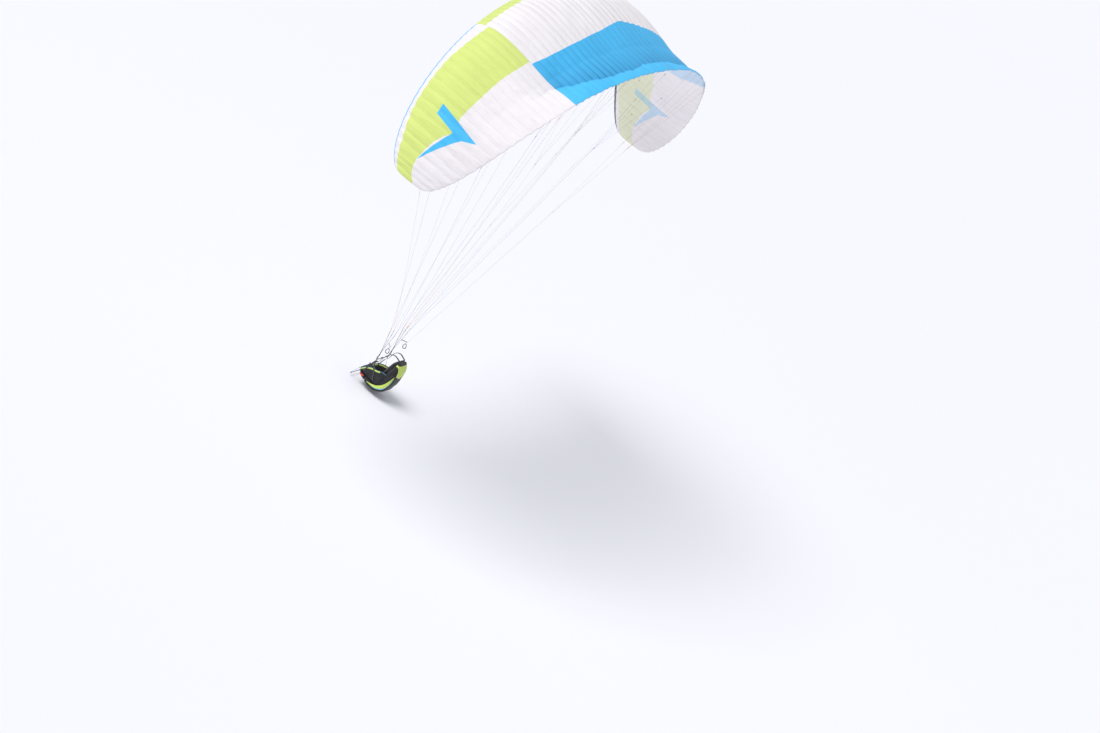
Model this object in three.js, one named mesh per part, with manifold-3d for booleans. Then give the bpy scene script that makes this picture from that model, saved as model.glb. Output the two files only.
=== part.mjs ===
// Paraglider: a ram-air canopy with its lines, risers, carabiners, brakes and seated harness.
// Millimetres. +X is the flight direction, +Y is left, +Z is up.
// The origin is the middle of the canopy, 30% of the chord behind its leading edge.
import * as THREE from 'three';
import { mergeVertices } from 'three/addons/utils/BufferGeometryUtils.js';
import Module from 'manifold-3d';

const wasm = await Module();
wasm.setup();
const { Manifold, Mesh } = wasm;

// Driving dimensions of the canopy
const HALF_SPAN = 5800;        // half of the flat span, along the arc
const ARC_DEGREES = 78;        // how far the surface has turned down at the tip
const ARC_POWER = 1.3;         // how late the arc turns
const ROOT_CHORD = 2650;
const TIP_CHORD = 450;
const TIP_SWEEP = 1100;        // how far the tip's leading edge lies behind the root's
const CHORD_POWER = 2.2;       // 2 is an ellipse
const ORIGIN_FRACTION = 0.3;
const SKIN = 4;
const RIB = 4;
const SEAM = 0.3;

// Aft of the rear line row the trailing edge turns up a little, as in the photo
const CREASE_FRACTION = 0.72;
const CREASE_SAG = 60;
const TAIL_LIFT = 60;
const CREASE_FADE = 0.8;

// Brake flap: where it lies on the half span, and what it clears
const FLAP_FROM = 0.14;
const FLAP_TO = 0.62;
const FLAP_SLANT = 0.0175;     // each end tapers, so that the turned flap stays clear of its neighbours
const FLAP_CLEAR = 14;
const FLAP_END_CLEAR = 13;

// Lines, risers and harness
const PIVOT_X = -200;          // the carabiners, fore and aft
const PIVOT_Y = 230;
const CARABINER_TOP_Z = -7950;
const PIVOT_Z = -8045;
const RISER_LENGTH = 530;
const WEBBING = 22;
const WEBBING_THICK = 3;

// chord fraction, upper surface, lower surface, both as a fraction of the chord
const PROFILE = [
  [0.00, 0.000, 0.000],
  [0.02, 0.035, -0.022],
  [0.06, 0.065, -0.030],
  [0.12, 0.095, -0.034],
  [0.22, 0.118, -0.036],
  [0.35, 0.115, -0.034],
  [0.50, 0.098, -0.030],
  [0.64, 0.073, -0.024],
  [0.72, 0.058, -0.019],
  [0.86, 0.030, -0.011],
  [1.00, 0.003, -0.003],
];

// section name, where its ribs stand on the half span, colour
const CENTRE_RIBS = [-0.14, -0.07, 0, 0.07, 0.14];
const SECTIONS = [
  ['inner', [0.14, 0.22, 0.30, 0.38], 'canopy'],
  ['mid', [0.38, 0.46, 0.54, 0.62], 'canopy'],
  ['outer', [0.62, 0.72, 0.82], 'lime'],
  ['tip', [0.82, 0.89, 0.945, 0.98, 1.0], 'lime'],
];

// line row, its chord fraction, its riser's place fore and aft at the top, colour
const ROWS = [
  ['a', 0.09, 62, 0xc8453a],
  ['b', 0.35, 0, 0xe6b93c],
  ['c', 0.64, -62, 0x3f78b5],
];

// main lines of a row: where their upper lines reach the canopy
const MAINS = [
  [0.07, 0.22, 0.30],
  [0.46, 0.54, 0.72],
];
const TIP_LINES = [0.82, 0.89];

// brake lines: the flap's ribs that each branch holds
const FLAP_CELLS = 6;
const BRAKE_RIBS = [[1, 2], [3, 4, 5]];

const COLOURS = {
  canopy: [0xf2eef3, 0.8, 0],
  lime: [0xdff08f, 0.8, 0],
  blue: [0x45b0e8, 0.8, 0],
  black: [0x1b1b1f, 0.85, 0],
  webbing: [0x26262a, 0.9, 0],
  steel: [0xb4b6b8, 0.3, 0.9],
  alloy: [0x8d9096, 0.35, 0.9],
  board: [0xb08a5a, 0.6, 0],
  orange: [0xe8502e, 0.6, 0],
  plastic: [0x17181a, 0.45, 0],
};

const group = new THREE.Group();

function lerp(a, b, t) {
  return a + (b - a) * t;
}

function table(fraction, column) {
  for (let i = 1; i < PROFILE.length; i++) {
    if (fraction <= PROFILE[i][0]) {
      const a = PROFILE[i - 1];
      const b = PROFILE[i];
      return lerp(a[column], b[column], (fraction - a[0]) / (b[0] - a[0]));
    }
  }
  return PROFILE[PROFILE.length - 1][column];
}

// The arc: place and slope of the canopy's span line at s, from 0 at the middle to 1 at the tip
function spanPoint(s) {
  const steps = 60;
  let y = 0;
  let z = 0;
  for (let i = 0; i < steps; i++) {
    const angle = THREE.MathUtils.degToRad(ARC_DEGREES) * (s * (i + 0.5) / steps) ** ARC_POWER;
    y += Math.cos(angle) * HALF_SPAN * s / steps;
    z -= Math.sin(angle) * HALF_SPAN * s / steps;
  }
  return { y, z, angle: THREE.MathUtils.degToRad(ARC_DEGREES) * s ** ARC_POWER };
}

function roundness(s) {
  return Math.sqrt(Math.max(0, 1 - s ** CHORD_POWER));
}

function chordAt(s) {
  return TIP_CHORD + (ROOT_CHORD - TIP_CHORD) * roundness(Math.abs(s));
}

// A point of the canopy: s along the half span, f along the chord, column 1 upper or 2 lower
function skinPoint(s, f, column, inset = 0) {
  const sign = s < 0 ? -1 : 1;
  const a = Math.abs(s);
  const { y, z, angle } = spanPoint(a);
  const chord = chordAt(a);
  const nose = ORIGIN_FRACTION * ROOT_CHORD - TIP_SWEEP * (1 - roundness(a));
  const fade = Math.max(0, 1 - (a / CREASE_FADE) ** 4);
  const before = THREE.MathUtils.smoothstep(f, 0.30, CREASE_FRACTION);
  const after = THREE.MathUtils.clamp((f - CREASE_FRACTION) / (1 - CREASE_FRACTION), 0, 1);
  const camber = fade * (lerp(-CREASE_SAG * before, TAIL_LIFT, after));
  const up = table(f, column) * chord + camber + (column === 1 ? -inset : inset);
  const point = new THREE.Vector3(nose - f * chord, y + up * Math.sin(angle), z + up * Math.cos(angle));
  point.y *= sign;
  return point;
}

function geometryOf(points, index) {
  const geometry = new THREE.BufferGeometry();
  const places = points.flatMap((p) => [p.x, p.y, p.z]);
  geometry.setAttribute('position', new THREE.Float32BufferAttribute(places, 3));
  geometry.setIndex(index);
  return geometry;
}

// Joins vertices that lie within a tolerance of each other and drops the faces that this closes up
function weld(geometry, tolerance) {
  const merged = mergeVertices(geometry, tolerance / 100);
  const places = merged.attributes.position;
  const kept = [];
  const home = [];
  for (let i = 0; i < places.count; i++) {
    const p = new THREE.Vector3().fromBufferAttribute(places, i);
    let near = kept.findIndex((q) => q.distanceTo(p) < tolerance);
    if (near < 0) {
      near = kept.push(p) - 1;
    }
    home.push(near);
  }
  const faces = [];
  const ids = merged.index.array;
  for (let i = 0; i < ids.length; i += 3) {
    const [a, b, c] = [home[ids[i]], home[ids[i + 1]], home[ids[i + 2]]];
    if (a !== b && b !== c && a !== c) {
      faces.push(a, b, c);
    }
  }
  return geometryOf(kept, faces);
}

function solidOf(geometry) {
  const bare = geometry.clone();
  bare.deleteAttribute('normal');
  bare.deleteAttribute('uv');
  const merged = mergeVertices(bare, 1e-4);
  const vertProperties = new Float32Array(merged.attributes.position.array);
  const triVerts = new Uint32Array(merged.index.array);
  const solid = new Manifold(new Mesh({ numProp: 3, vertProperties, triVerts }));
  if (solid.volume() > 0) {
    return solid;
  }
  triVerts.reverse();
  return new Manifold(new Mesh({ numProp: 3, vertProperties, triVerts }));
}

function add(name, solid, [color, roughness, metalness]) {
  const mesh = solid.getMesh();
  const points = new Float32Array(mesh.vertProperties);
  const cut = new THREE.BufferGeometry();
  cut.setAttribute('position', new THREE.BufferAttribute(points, 3));
  cut.setIndex(new THREE.BufferAttribute(new Uint32Array(mesh.triVerts), 1));
  const geometry = weld(cut, 0.05);
  geometry.computeVertexNormals();
  const finish = new THREE.MeshStandardMaterial({ color, roughness, metalness });
  const part = new THREE.Mesh(geometry, finish);
  part.name = name;
  group.add(part);
}

function union(solids) {
  return solids.reduce((a, b) => a.add(b));
}

// The same solid on each side: the maker gives the left one, the right one is its mirror
function addPair(name, solid, colour) {
  const [first, ...rest] = name.split('_');
  const tail = rest.length ? `_${rest.join('_')}` : '';
  add(`${first}_left${tail}`, solid, colour);
  add(`${first}_right${tail}`, solid.mirror([0, 1, 0]), colour);
}

// A loft over the canopy's span: spanAt(t, f) gives s, fractions run from nose to tail
function canopyLoft(spanAt, cuts, fractions, inset) {
  const rings = cuts.map((t) => {
    const upper = fractions.map((f) => skinPoint(spanAt(t, f), f, 1, inset));
    const lower = fractions.map((f) => skinPoint(spanAt(t, f), f, 2, inset));
    return [...upper.reverse(), ...lower];
  });
  const n = fractions.length;
  const size = 2 * n;
  const index = [];
  for (let r = 0; r + 1 < rings.length; r++) {
    for (let i = 0; i < size; i++) {
      const a = r * size + i;
      const b = r * size + (i + 1) % size;
      index.push(a, b, a + size, b, b + size, a + size);
    }
  }
  for (const [start, flip] of [[0, true], [(rings.length - 1) * size, false]]) {
    for (let i = 0; i + 1 < n; i++) {
      const a = start + i;
      const b = start + i + 1;
      const c = start + size - 1 - i;
      const d = start + size - 2 - i;
      const faces = flip ? [a, c, b, b, c, d] : [a, b, c, b, d, c];
      index.push(...faces);
    }
  }
  const geometry = geometryOf(rings.flat(), index);
  return solidOf(weld(geometry, 0.01));
}

// The air intake of one cell, a slot under the nose
function intake(from, to) {
  const corners = [[0.014, -0.03], [0.055, -0.03], [0.055, 0.01], [0.014, 0.01]];
  const ring = (s) => corners.map(([f, up]) => {
    const { angle } = spanPoint(Math.abs(s));
    const p = skinPoint(s, f, 2);
    p.y += Math.sign(s) * up * chordAt(s) * Math.sin(angle);
    p.z += up * chordAt(s) * Math.cos(angle);
    return p;
  });
  const points = [...ring(from), ...ring(to)];
  const index = [0, 1, 2, 0, 2, 3, 4, 6, 5, 4, 7, 6];
  for (let i = 0; i < 4; i++) {
    const j = (i + 1) % 4;
    index.push(i, i + 4, j, j, i + 4, j + 4);
  }
  return solidOf(geometryOf(points, index));
}

// One spanwise section: its skin and ribs, hollow, with an intake to each cell but the closed one at the tip
function canopySection(ribs, tail, openTail) {
  const last = ribs.length - 1;
  const seam = SEAM / 2 / HALF_SPAN;
  const places = [ribs[0] + seam, ...ribs.slice(1, last), ribs[last] - seam];
  const all = PROFILE.map((row) => row[0]);
  const fractions = [...all.filter((f) => f < tail - 0.01), tail];
  let solid = canopyLoft((s) => s, places, fractions, 0);
  const isTip = ribs[last] === 1;
  const hollowTail = openTail ? tail + 0.05 : (isTip ? 0.80 : 0.93);
  const hollow = [0.012, ...all.filter((f) => f > 0.012 && f < hollowTail - 0.01), hollowTail];
  const rib = RIB / 2 / HALF_SPAN;
  for (let i = 0; i < (isTip ? last - 1 : last); i++) {
    const a = places[i] + (i === 0 ? 2 : 1) * rib;
    const b = places[i + 1] - (i === last - 1 ? 2 : 1) * rib;
    solid = solid.subtract(canopyLoft((s) => s, [a, b], hollow, SKIN));
    solid = solid.subtract(intake(a + 4 * rib, b - 4 * rib));
  }
  return solid;
}

// Where the flap's ribs stand: t runs from its inner to its outer end, and both ends are slanted
function flapStation(t, f) {
  const slant = FLAP_SLANT * (f - CREASE_FRACTION) / (1 - CREASE_FRACTION);
  const clear = FLAP_END_CLEAR / HALF_SPAN + slant;
  return lerp(FLAP_FROM + clear, FLAP_TO - clear, t);
}

// The brake flap: the tail of the canopy between two stations, open at its front
function brakeFlap() {
  const front = CREASE_FRACTION + FLAP_CLEAR / 2500;
  const across = flapStation;
  const cells = FLAP_CELLS;
  const cuts = Array.from({ length: cells + 1 }, (_, i) => i / cells);
  let solid = canopyLoft(across, cuts, [front, 0.86, 1], 0);
  const rib = RIB / HALF_SPAN / (FLAP_TO - FLAP_FROM);
  for (let i = 0; i < cells; i++) {
    const a = i / cells + rib;
    const b = (i + 1) / cells - rib;
    const within = (t, f) => across(lerp(a, b, t), f);
    solid = solid.subtract(canopyLoft(within, [0, 1], [front - 0.004, 0.86, 0.93], SKIN));
  }
  return solid;
}

function rod(a, b, radius, sides = 5) {
  const length = a.distanceTo(b);
  const geometry = new THREE.CylinderGeometry(radius, radius, length, sides);
  geometry.applyQuaternion(new THREE.Quaternion().setFromUnitVectors(
    new THREE.Vector3(0, 1, 0), b.clone().sub(a).normalize()));
  const middle = a.clone().lerp(b, 0.5);
  geometry.translate(middle.x, middle.y, middle.z);
  return solidOf(geometry);
}

function bead(p, radius) {
  const geometry = new THREE.OctahedronGeometry(radius, 0);
  geometry.rotateZ(0.3);
  geometry.translate(p.x, p.y, p.z);
  return solidOf(geometry);
}

function box(x0, x1, y0, y1, z0, z1) {
  const geometry = new THREE.BoxGeometry(x1 - x0, y1 - y0, z1 - z0);
  geometry.translate((x0 + x1) / 2, (y0 + y1) / 2, (z0 + z1) / 2);
  return solidOf(geometry);
}

// A side view drawn as [x, z] points, made as wide as y0 to y1
function slab(outline, y0, y1, bevel = 0) {
  const shape = new THREE.Shape(outline.map(([x, z]) => new THREE.Vector2(x, z)));
  const geometry = new THREE.ExtrudeGeometry(shape, {
    depth: y1 - y0 - 2 * bevel,
    bevelEnabled: bevel > 0,
    bevelThickness: bevel,
    bevelSize: bevel,
    bevelOffset: -bevel,
    bevelSegments: 2,
    steps: 1,
  });
  geometry.rotateX(Math.PI / 2);
  geometry.translate(0, y1 - bevel, 0);
  return solidOf(geometry);
}

// Flat webbing from a to b: wide along the given direction
function strap(a, b, wide, width = WEBBING, thick = WEBBING_THICK) {
  const along = b.clone().sub(a).normalize();
  const side = wide.clone().addScaledVector(along, -wide.dot(along)).normalize();
  const face = along.clone().cross(side);
  const points = [];
  for (const end of [a, b]) {
    for (const [u, v] of [[-1, -1], [1, -1], [1, 1], [-1, 1]]) {
      points.push(end.clone().addScaledVector(side, u * width / 2).addScaledVector(face, v * thick / 2));
    }
  }
  const index = [0, 2, 1, 0, 3, 2, 4, 5, 6, 4, 6, 7];
  for (let i = 0; i < 4; i++) {
    const j = (i + 1) % 4;
    index.push(i, j, i + 4, j, j + 4, i + 4);
  }
  return solidOf(geometryOf(points, index));
}

// A plate that lies on the face of a strap, over the stretch from..to of its length
function plateOn(a, b, wide, from, to, width, thick, lift) {
  const along = b.clone().sub(a).normalize();
  const across = wide.clone().addScaledVector(along, -wide.dot(along)).normalize();
  const face = along.clone().cross(across);
  const up = face.multiplyScalar(face.z < 0 ? -lift : lift);
  return strap(a.clone().lerp(b, from).add(up), a.clone().lerp(b, to).add(up), wide, width, thick);
}

// A ring of webbing round a bar that runs along Y
function loop(x, z, inner, outer, y0, y1) {
  const ring = new THREE.Shape();
  ring.absarc(x, z, outer, 0, 2 * Math.PI, false);
  const hole = new THREE.Path();
  hole.absarc(x, z, inner, 0, 2 * Math.PI, true);
  ring.holes.push(hole);
  const geometry = new THREE.ExtrudeGeometry(ring, {
    depth: y1 - y0,
    bevelEnabled: false,
    curveSegments: 8,
  });
  geometry.rotateX(Math.PI / 2);
  geometry.translate(0, y1, 0);
  return solidOf(geometry);
}

const at = (x, y, z) => new THREE.Vector3(x, y, z);
const ALONG_X = at(1, 0, 0);
const ALONG_Y = at(0, 1, 0);

// Canopy
function buildCanopy() {
  add('canopy_centre', canopySection(CENTRE_RIBS, 1, false), COLOURS.canopy);
  for (const [name, ribs, colour] of SECTIONS) {
    const flapped = ribs[ribs.length - 1] <= FLAP_TO;
    const solid = canopySection(ribs, flapped ? CREASE_FRACTION : 1, flapped);
    addPair(`canopy_${name}`, solid, COLOURS[colour]);
  }
  addPair('flap', brakeFlap(), COLOURS.blue);
}

// Lines: each row is one tree from its riser to the canopy's lower skin
function anchor(s, f, drop = 1.3) {
  const p = skinPoint(s, f, 2);
  const { angle } = spanPoint(s);
  return p.add(at(0, -Math.sin(angle), -Math.cos(angle)).multiplyScalar(drop));
}

function riserTop(offset) {
  return at(PIVOT_X + offset, PIVOT_Y + 22, CARABINER_TOP_Z + RISER_LENGTH);
}

function middleOf(points) {
  return points.reduce((a, b) => a.clone().add(b)).multiplyScalar(1 / points.length);
}

function lineTree(bottom, branches, split, mainRadius, upperRadius) {
  const pieces = [bead(bottom, 4.2)];
  for (const ends of branches) {
    const knot = bottom.clone().lerp(middleOf(ends), split);
    pieces.push(rod(bottom, knot, mainRadius), bead(knot, 4));
    for (const end of ends) {
      pieces.push(rod(knot, end, upperRadius));
    }
  }
  return union(pieces);
}

function buildLines() {
  for (const [name, fraction, offset, hex] of ROWS) {
    const rows = name === 'b' ? [...MAINS, TIP_LINES] : MAINS;
    const branches = rows.map((row) => row.map((s) => anchor(s, fraction)));
    const bottom = riserTop(offset).add(at(0, 0, 34));
    addPair(`lines_${name}`, lineTree(bottom, branches, 0.72, 1.6, 1.2), [hex, 0.6, 0]);
  }
}

// Brakes: pulley on the rear riser, a line from the flap that ends at it, and the handle below
const PULLEY = at(PIVOT_X - 128, PIVOT_Y + 92, CARABINER_TOP_Z + 330);
const HANDLE_WAY = at(-0.15, 0.12, -1).normalize();

function buildBrakes() {
  const top = PULLEY.clone().add(at(-17.4, 0, 2));
  const tail = 0.985;
  const holdAt = (i) => anchor(flapStation(i / FLAP_CELLS, tail), tail, 12);
  const ends = BRAKE_RIBS.map((ribs) => ribs.map(holdAt));
  const fork = top.clone().lerp(middleOf(ends.flat()), 0.5);
  const tree = lineTree(fork, ends, 0.5, 1.6, 1.3);
  const whole = union([tree, rod(top, fork, 1.7), bead(top, 4.2)]);
  addPair('brake_line', whole, [0xe8a23a, 0.6, 0]);
  const sewn = at(PIVOT_X - 41, PIVOT_Y + 13, CARABINER_TOP_Z + 330);
  const tab = strap(sewn, PULLEY, at(0, 0, 1), 14, 3);
  const wheel = new THREE.CylinderGeometry(11, 11, 9, 16);
  wheel.translate(PULLEY.x, PULLEY.y, PULLEY.z);
  addPair('brake_pulley', union([tab, solidOf(wheel)]), COLOURS.steel);
  const stemTop = PULLEY.clone().addScaledVector(HANDLE_WAY, 12);
  const stemEnd = PULLEY.clone().addScaledVector(HANDLE_WAY, 52);
  const grip = new THREE.TorusGeometry(46, 9, 8, 18);
  grip.scale(0.75, 1.15, 1);
  grip.rotateX(Math.PI / 2);
  grip.translate(stemEnd.x, stemEnd.y, stemEnd.z - 50);
  addPair('brake_handle', union([rod(stemTop, stemEnd, 2.5), solidOf(grip)]), COLOURS.plastic);
}

// Risers: three legs of webbing sewn into one loop on the carabiner, with a link to each row
function buildRisers() {
  const legs = [loop(PIVOT_X, CARABINER_TOP_Z, 6.3, 12, PIVOT_Y - WEBBING / 2, PIVOT_Y + WEBBING / 2)];
  const seam = at(PIVOT_X, PIVOT_Y, CARABINER_TOP_Z + 60);
  legs.push(strap(at(PIVOT_X, PIVOT_Y, CARABINER_TOP_Z + 9), seam, ALONG_Y, WEBBING, 9));
  for (const [name, , offset] of ROWS) {
    const start = seam.clone().add(at(offset / 30, 0, -4));
    legs.push(strap(start, riserTop(offset), ALONG_Y, 14, WEBBING_THICK));
    const link = new THREE.TorusGeometry(9, 2, 6, 14);
    link.scale(0.75, 1.35, 1);
    link.rotateX(Math.PI / 2);
    const top = riserTop(offset);
    link.translate(top.x, top.y, top.z + 15.6);
    addPair(`link_${name}`, solidOf(link), COLOURS.steel);
  }
  addPair('riser', union(legs), COLOURS.webbing);
}

// Main carabiner: a closed ring of alloy in the plane across the flight direction
function buildCarabiners() {
  const bar = 5.5;
  const wide = 24;
  const half = (CARABINER_TOP_Z - PIVOT_Z) / 2;
  const rim = (grow, corner) => {
    const shape = new THREE.Path();
    const w = wide + grow;
    const h = half + grow;
    shape.moveTo(w, corner - h);
    shape.lineTo(w, h - corner);
    shape.absarc(w - corner, h - corner, corner, 0, Math.PI / 2, false);
    shape.absarc(corner - w, h - corner, corner, Math.PI / 2, Math.PI, false);
    shape.absarc(corner - w, corner - h, corner, Math.PI, 1.5 * Math.PI, false);
    shape.absarc(w - corner, corner - h, corner, 1.5 * Math.PI, 2 * Math.PI, false);
    return shape.getPoints(4);
  };
  const ring = new THREE.Shape(rim(bar, 18));
  ring.holes.push(new THREE.Path(rim(-bar, 8).reverse()));
  const geometry = new THREE.ExtrudeGeometry(ring, {
    depth: 2 * bar - 6,
    bevelEnabled: true,
    bevelThickness: 3,
    bevelSize: 3,
    bevelOffset: -3,
    bevelSegments: 1,
  });
  geometry.translate(0, 0, 3 - bar);
  geometry.rotateX(Math.PI / 2);
  geometry.rotateZ(Math.PI / 2);
  geometry.translate(PIVOT_X, PIVOT_Y, CARABINER_TOP_Z - half);
  addPair('carabiner', solidOf(geometry), COLOURS.alloy);
}

// Harness, side views drawn from the pivot: x forward, z up
const SEAT_HALF = 190;
const hx = (x) => PIVOT_X + x;
const hz = (z) => PIVOT_Z + z;
const side = (points) => points.map(([x, z]) => [hx(x), hz(z)]);

function buildHarness() {
  const board = side([[-175, -462], [205, -418], [205, -408], [-175, -452]]);
  add('seat_board', slab(board, -SEAT_HALF, SEAT_HALF), COLOURS.board);
  add('seat_cushion', slab(side([
    [-172, -451.3], [204, -407.7], [216, -385], [200, -366], [60, -376], [-172, -404],
  ]), -SEAT_HALF + 4, SEAT_HALF - 4, 8), COLOURS.black);
  add('back_pad', slab(side([
    [-178, -452], [-174, -400], [-222, -160], [-300, 120], [-345, 190],
    [-385, 200], [-352, 40], [-292, -160], [-240, -452],
  ]), -170, 170, 8), COLOURS.black);
  add('back_shell', slab(side([
    [-241, -452.3], [-293, -160], [-353, 40], [-386.5, 200], [-440, 190], [-505, 60], [-520, -150],
    [-492, -360], [-420, -530], [-300, -610], [-120, -628], [20, -600], [20, -441], [-176, -463],
  ]), -200, 200, 14), COLOURS.black);
  add('reserve_pocket', slab(side([
    [20.5, -440.5], [20.5, -598], [120, -560], [196, -486], [212, -419],
  ]), -180, 180, 10), COLOURS.black);
  addPair('side_panel', slab(side([
    [-225, -463], [205, -415], [150, -330], [20, -230], [-120, -190], [-235, -150],
  ]), 200.4, 210.1), COLOURS.black);

  const hang = [loop(PIVOT_X, PIVOT_Z, 6.5, 12.5, PIVOT_Y - WEBBING / 2, PIVOT_Y + WEBBING / 2)];
  const joint = at(PIVOT_X, PIVOT_Y, hz(-70));
  hang.push(strap(at(PIVOT_X, PIVOT_Y, hz(-9)), joint, ALONG_Y, WEBBING, 6));
  const foot = (x, z) => at(hx(x), SEAT_HALF + 22, hz(z));
  hang.push(strap(joint.clone().add(at(0, 0, 5)), foot(120, -405), ALONG_X, 25));
  hang.push(strap(joint.clone().add(at(0, 0, 5)), foot(-150, -435), ALONG_X, 25));
  hang.push(bead(joint, 12));
  addPair('hang_strap', union(hang), COLOURS.webbing);

  const shoulder = [
    at(hx(-333), 95, hz(206)), at(hx(-240), 110, hz(246)), at(hx(-140), 130, hz(190)),
    at(hx(-70), 165, hz(40)), at(hx(-22), 222, hz(-80)),
  ];
  addPair('shoulder_strap', union(shoulder.slice(1).flatMap((p, i) => [
    strap(shoulder[i], p, ALONG_Y, 42, 9), bead(p, 4.4),
  ])), COLOURS.webbing);

  const chestZ = hz(-34);
  const chest = PIVOT_Y - 4;
  add('chest_strap', box(hx(3.4), hx(6.4), -chest, chest, chestZ - 11, chestZ + 11), COLOURS.webbing);
  add('chest_buckle', box(hx(6.7), hx(16), -32, 32, chestZ - 18, chestZ + 18), COLOURS.plastic);

  const thigh = [
    at(hx(150), 40, hz(-366)), at(hx(130), 62, hz(-270)), at(hx(105), 125, hz(-222)),
    at(hx(80), 158, hz(-240)), at(hx(50), 172, hz(-300)),
  ];
  const thighWide = at(0.85, 0, 0.5);
  addPair('leg_strap', union(thigh.slice(1).flatMap((p, i) => [
    strap(thigh[i], p, thighWide, 34, 6), bead(p, 3),
  ])), COLOURS.webbing);
  const plate = plateOn(thigh[1], thigh[2], thighWide, 0.25, 0.8, 42, 8, 7.4);
  addPair('leg_buckle', plate, COLOURS.plastic);

  addPair('reserve_handle', box(hx(60), hx(160), 180.4, 199, hz(-520), hz(-482)), COLOURS.orange);

  const barY = 150;
  const bar = at(hx(330), 0, hz(-640));
  add('speed_bar', rod(at(bar.x, -barY - 30, bar.z), at(bar.x, barY + 30, bar.z), 8, 12), COLOURS.alloy);
  const eye = at(hx(212), 224, hz(-400));
  addPair('speed_cord', union([
    rod(at(bar.x, barY, bar.z + 9.2), eye, 2.5), bead(eye, 5),
    rod(eye, at(hx(16), PIVOT_Y + 8, hz(-110)), 2.5),
  ]), [0x2f7fc0, 0.6, 0]);
}

buildCanopy();
buildLines();
buildBrakes();
buildRisers();
buildCarabiners();
buildHarness();

export default group;
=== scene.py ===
"""Dresses the paraglider: sewn canopy, lines, risers, carabiners, brakes and seated harness.

Metres. +X is the flight direction, +Y is left, +Z is up. The origin is the middle of the canopy,
30% of the chord behind its leading edge.
"""
import logging
import math
from dataclasses import dataclass, field
from enum import Enum

import bmesh
import bpy
import numpy as np
from mathutils import Matrix, Vector
from mathutils.kdtree import KDTree


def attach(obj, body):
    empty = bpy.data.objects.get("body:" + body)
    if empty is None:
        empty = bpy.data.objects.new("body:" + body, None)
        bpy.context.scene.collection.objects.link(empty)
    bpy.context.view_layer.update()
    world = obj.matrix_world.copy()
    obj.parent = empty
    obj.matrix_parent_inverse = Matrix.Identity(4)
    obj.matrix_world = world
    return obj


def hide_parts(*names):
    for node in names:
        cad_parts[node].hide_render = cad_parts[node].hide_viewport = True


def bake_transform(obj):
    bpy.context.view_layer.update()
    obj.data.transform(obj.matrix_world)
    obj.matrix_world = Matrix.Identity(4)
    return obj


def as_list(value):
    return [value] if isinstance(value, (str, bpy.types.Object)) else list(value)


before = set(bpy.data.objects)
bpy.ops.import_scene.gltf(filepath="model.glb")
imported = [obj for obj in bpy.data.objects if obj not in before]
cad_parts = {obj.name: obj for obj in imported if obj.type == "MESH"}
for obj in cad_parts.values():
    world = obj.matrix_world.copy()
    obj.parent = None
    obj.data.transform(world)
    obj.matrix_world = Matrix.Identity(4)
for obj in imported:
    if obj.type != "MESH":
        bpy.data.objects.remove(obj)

Array = np.ndarray
Socket = bpy.types.NodeSocket
Colour = tuple[float, float, float, float]
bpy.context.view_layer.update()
LOG = logging.getLogger("paraglider")
UV_NAMES = ("along", "cloth")
SHARP_ANGLE = math.radians(48)
# inner faces of the cloth lose their panel colours: painted paleness that stands in for light coming through
# the cloth
INNER_FACE_PAINTED_PALE = 1.6
Y_AXIS, Z_AXIS = (0, 1, 0), (0, 0, 1)


class Side(Enum):
    """The two sides of the glider, left being the left in flight direction."""

    LEFT = "left"
    RIGHT = "right"

    @property
    def mirror(self) -> Array:
        """What a place on the left is multiplied by to lie on this side."""
        return np.array([1.0, 1.0 if self is Side.LEFT else -1.0, 1.0])


# Materials


def linear(code: str, gain: float = 1.0, lift: float = 0.0) -> Colour:
    """Turns an sRGB hex value into the linear colour that a shader takes.

    Args:
        code: six hex digits.
        gain: what the linear colour is multiplied by.
        lift: what is added to it then, up to full white.

    Returns:
        Red, green, blue and alpha, from 0 to 1.
    """
    parts = [int(code[i:i + 2], 16) / 255 for i in (0, 2, 4)]
    flat = [c / 12.92 if c <= 0.04045 else ((c + 0.055) / 1.055) ** 2.4 for c in parts]
    return (*(min(1.0, c * gain + lift) for c in flat), 1.0)


@dataclass(frozen=True)
class Layer:
    """One colour that lies over the ones below it."""

    share: Socket | float
    colour: str | Colour | Socket
    strength: float = 1.0
    mode: str = "MIX"


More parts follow.
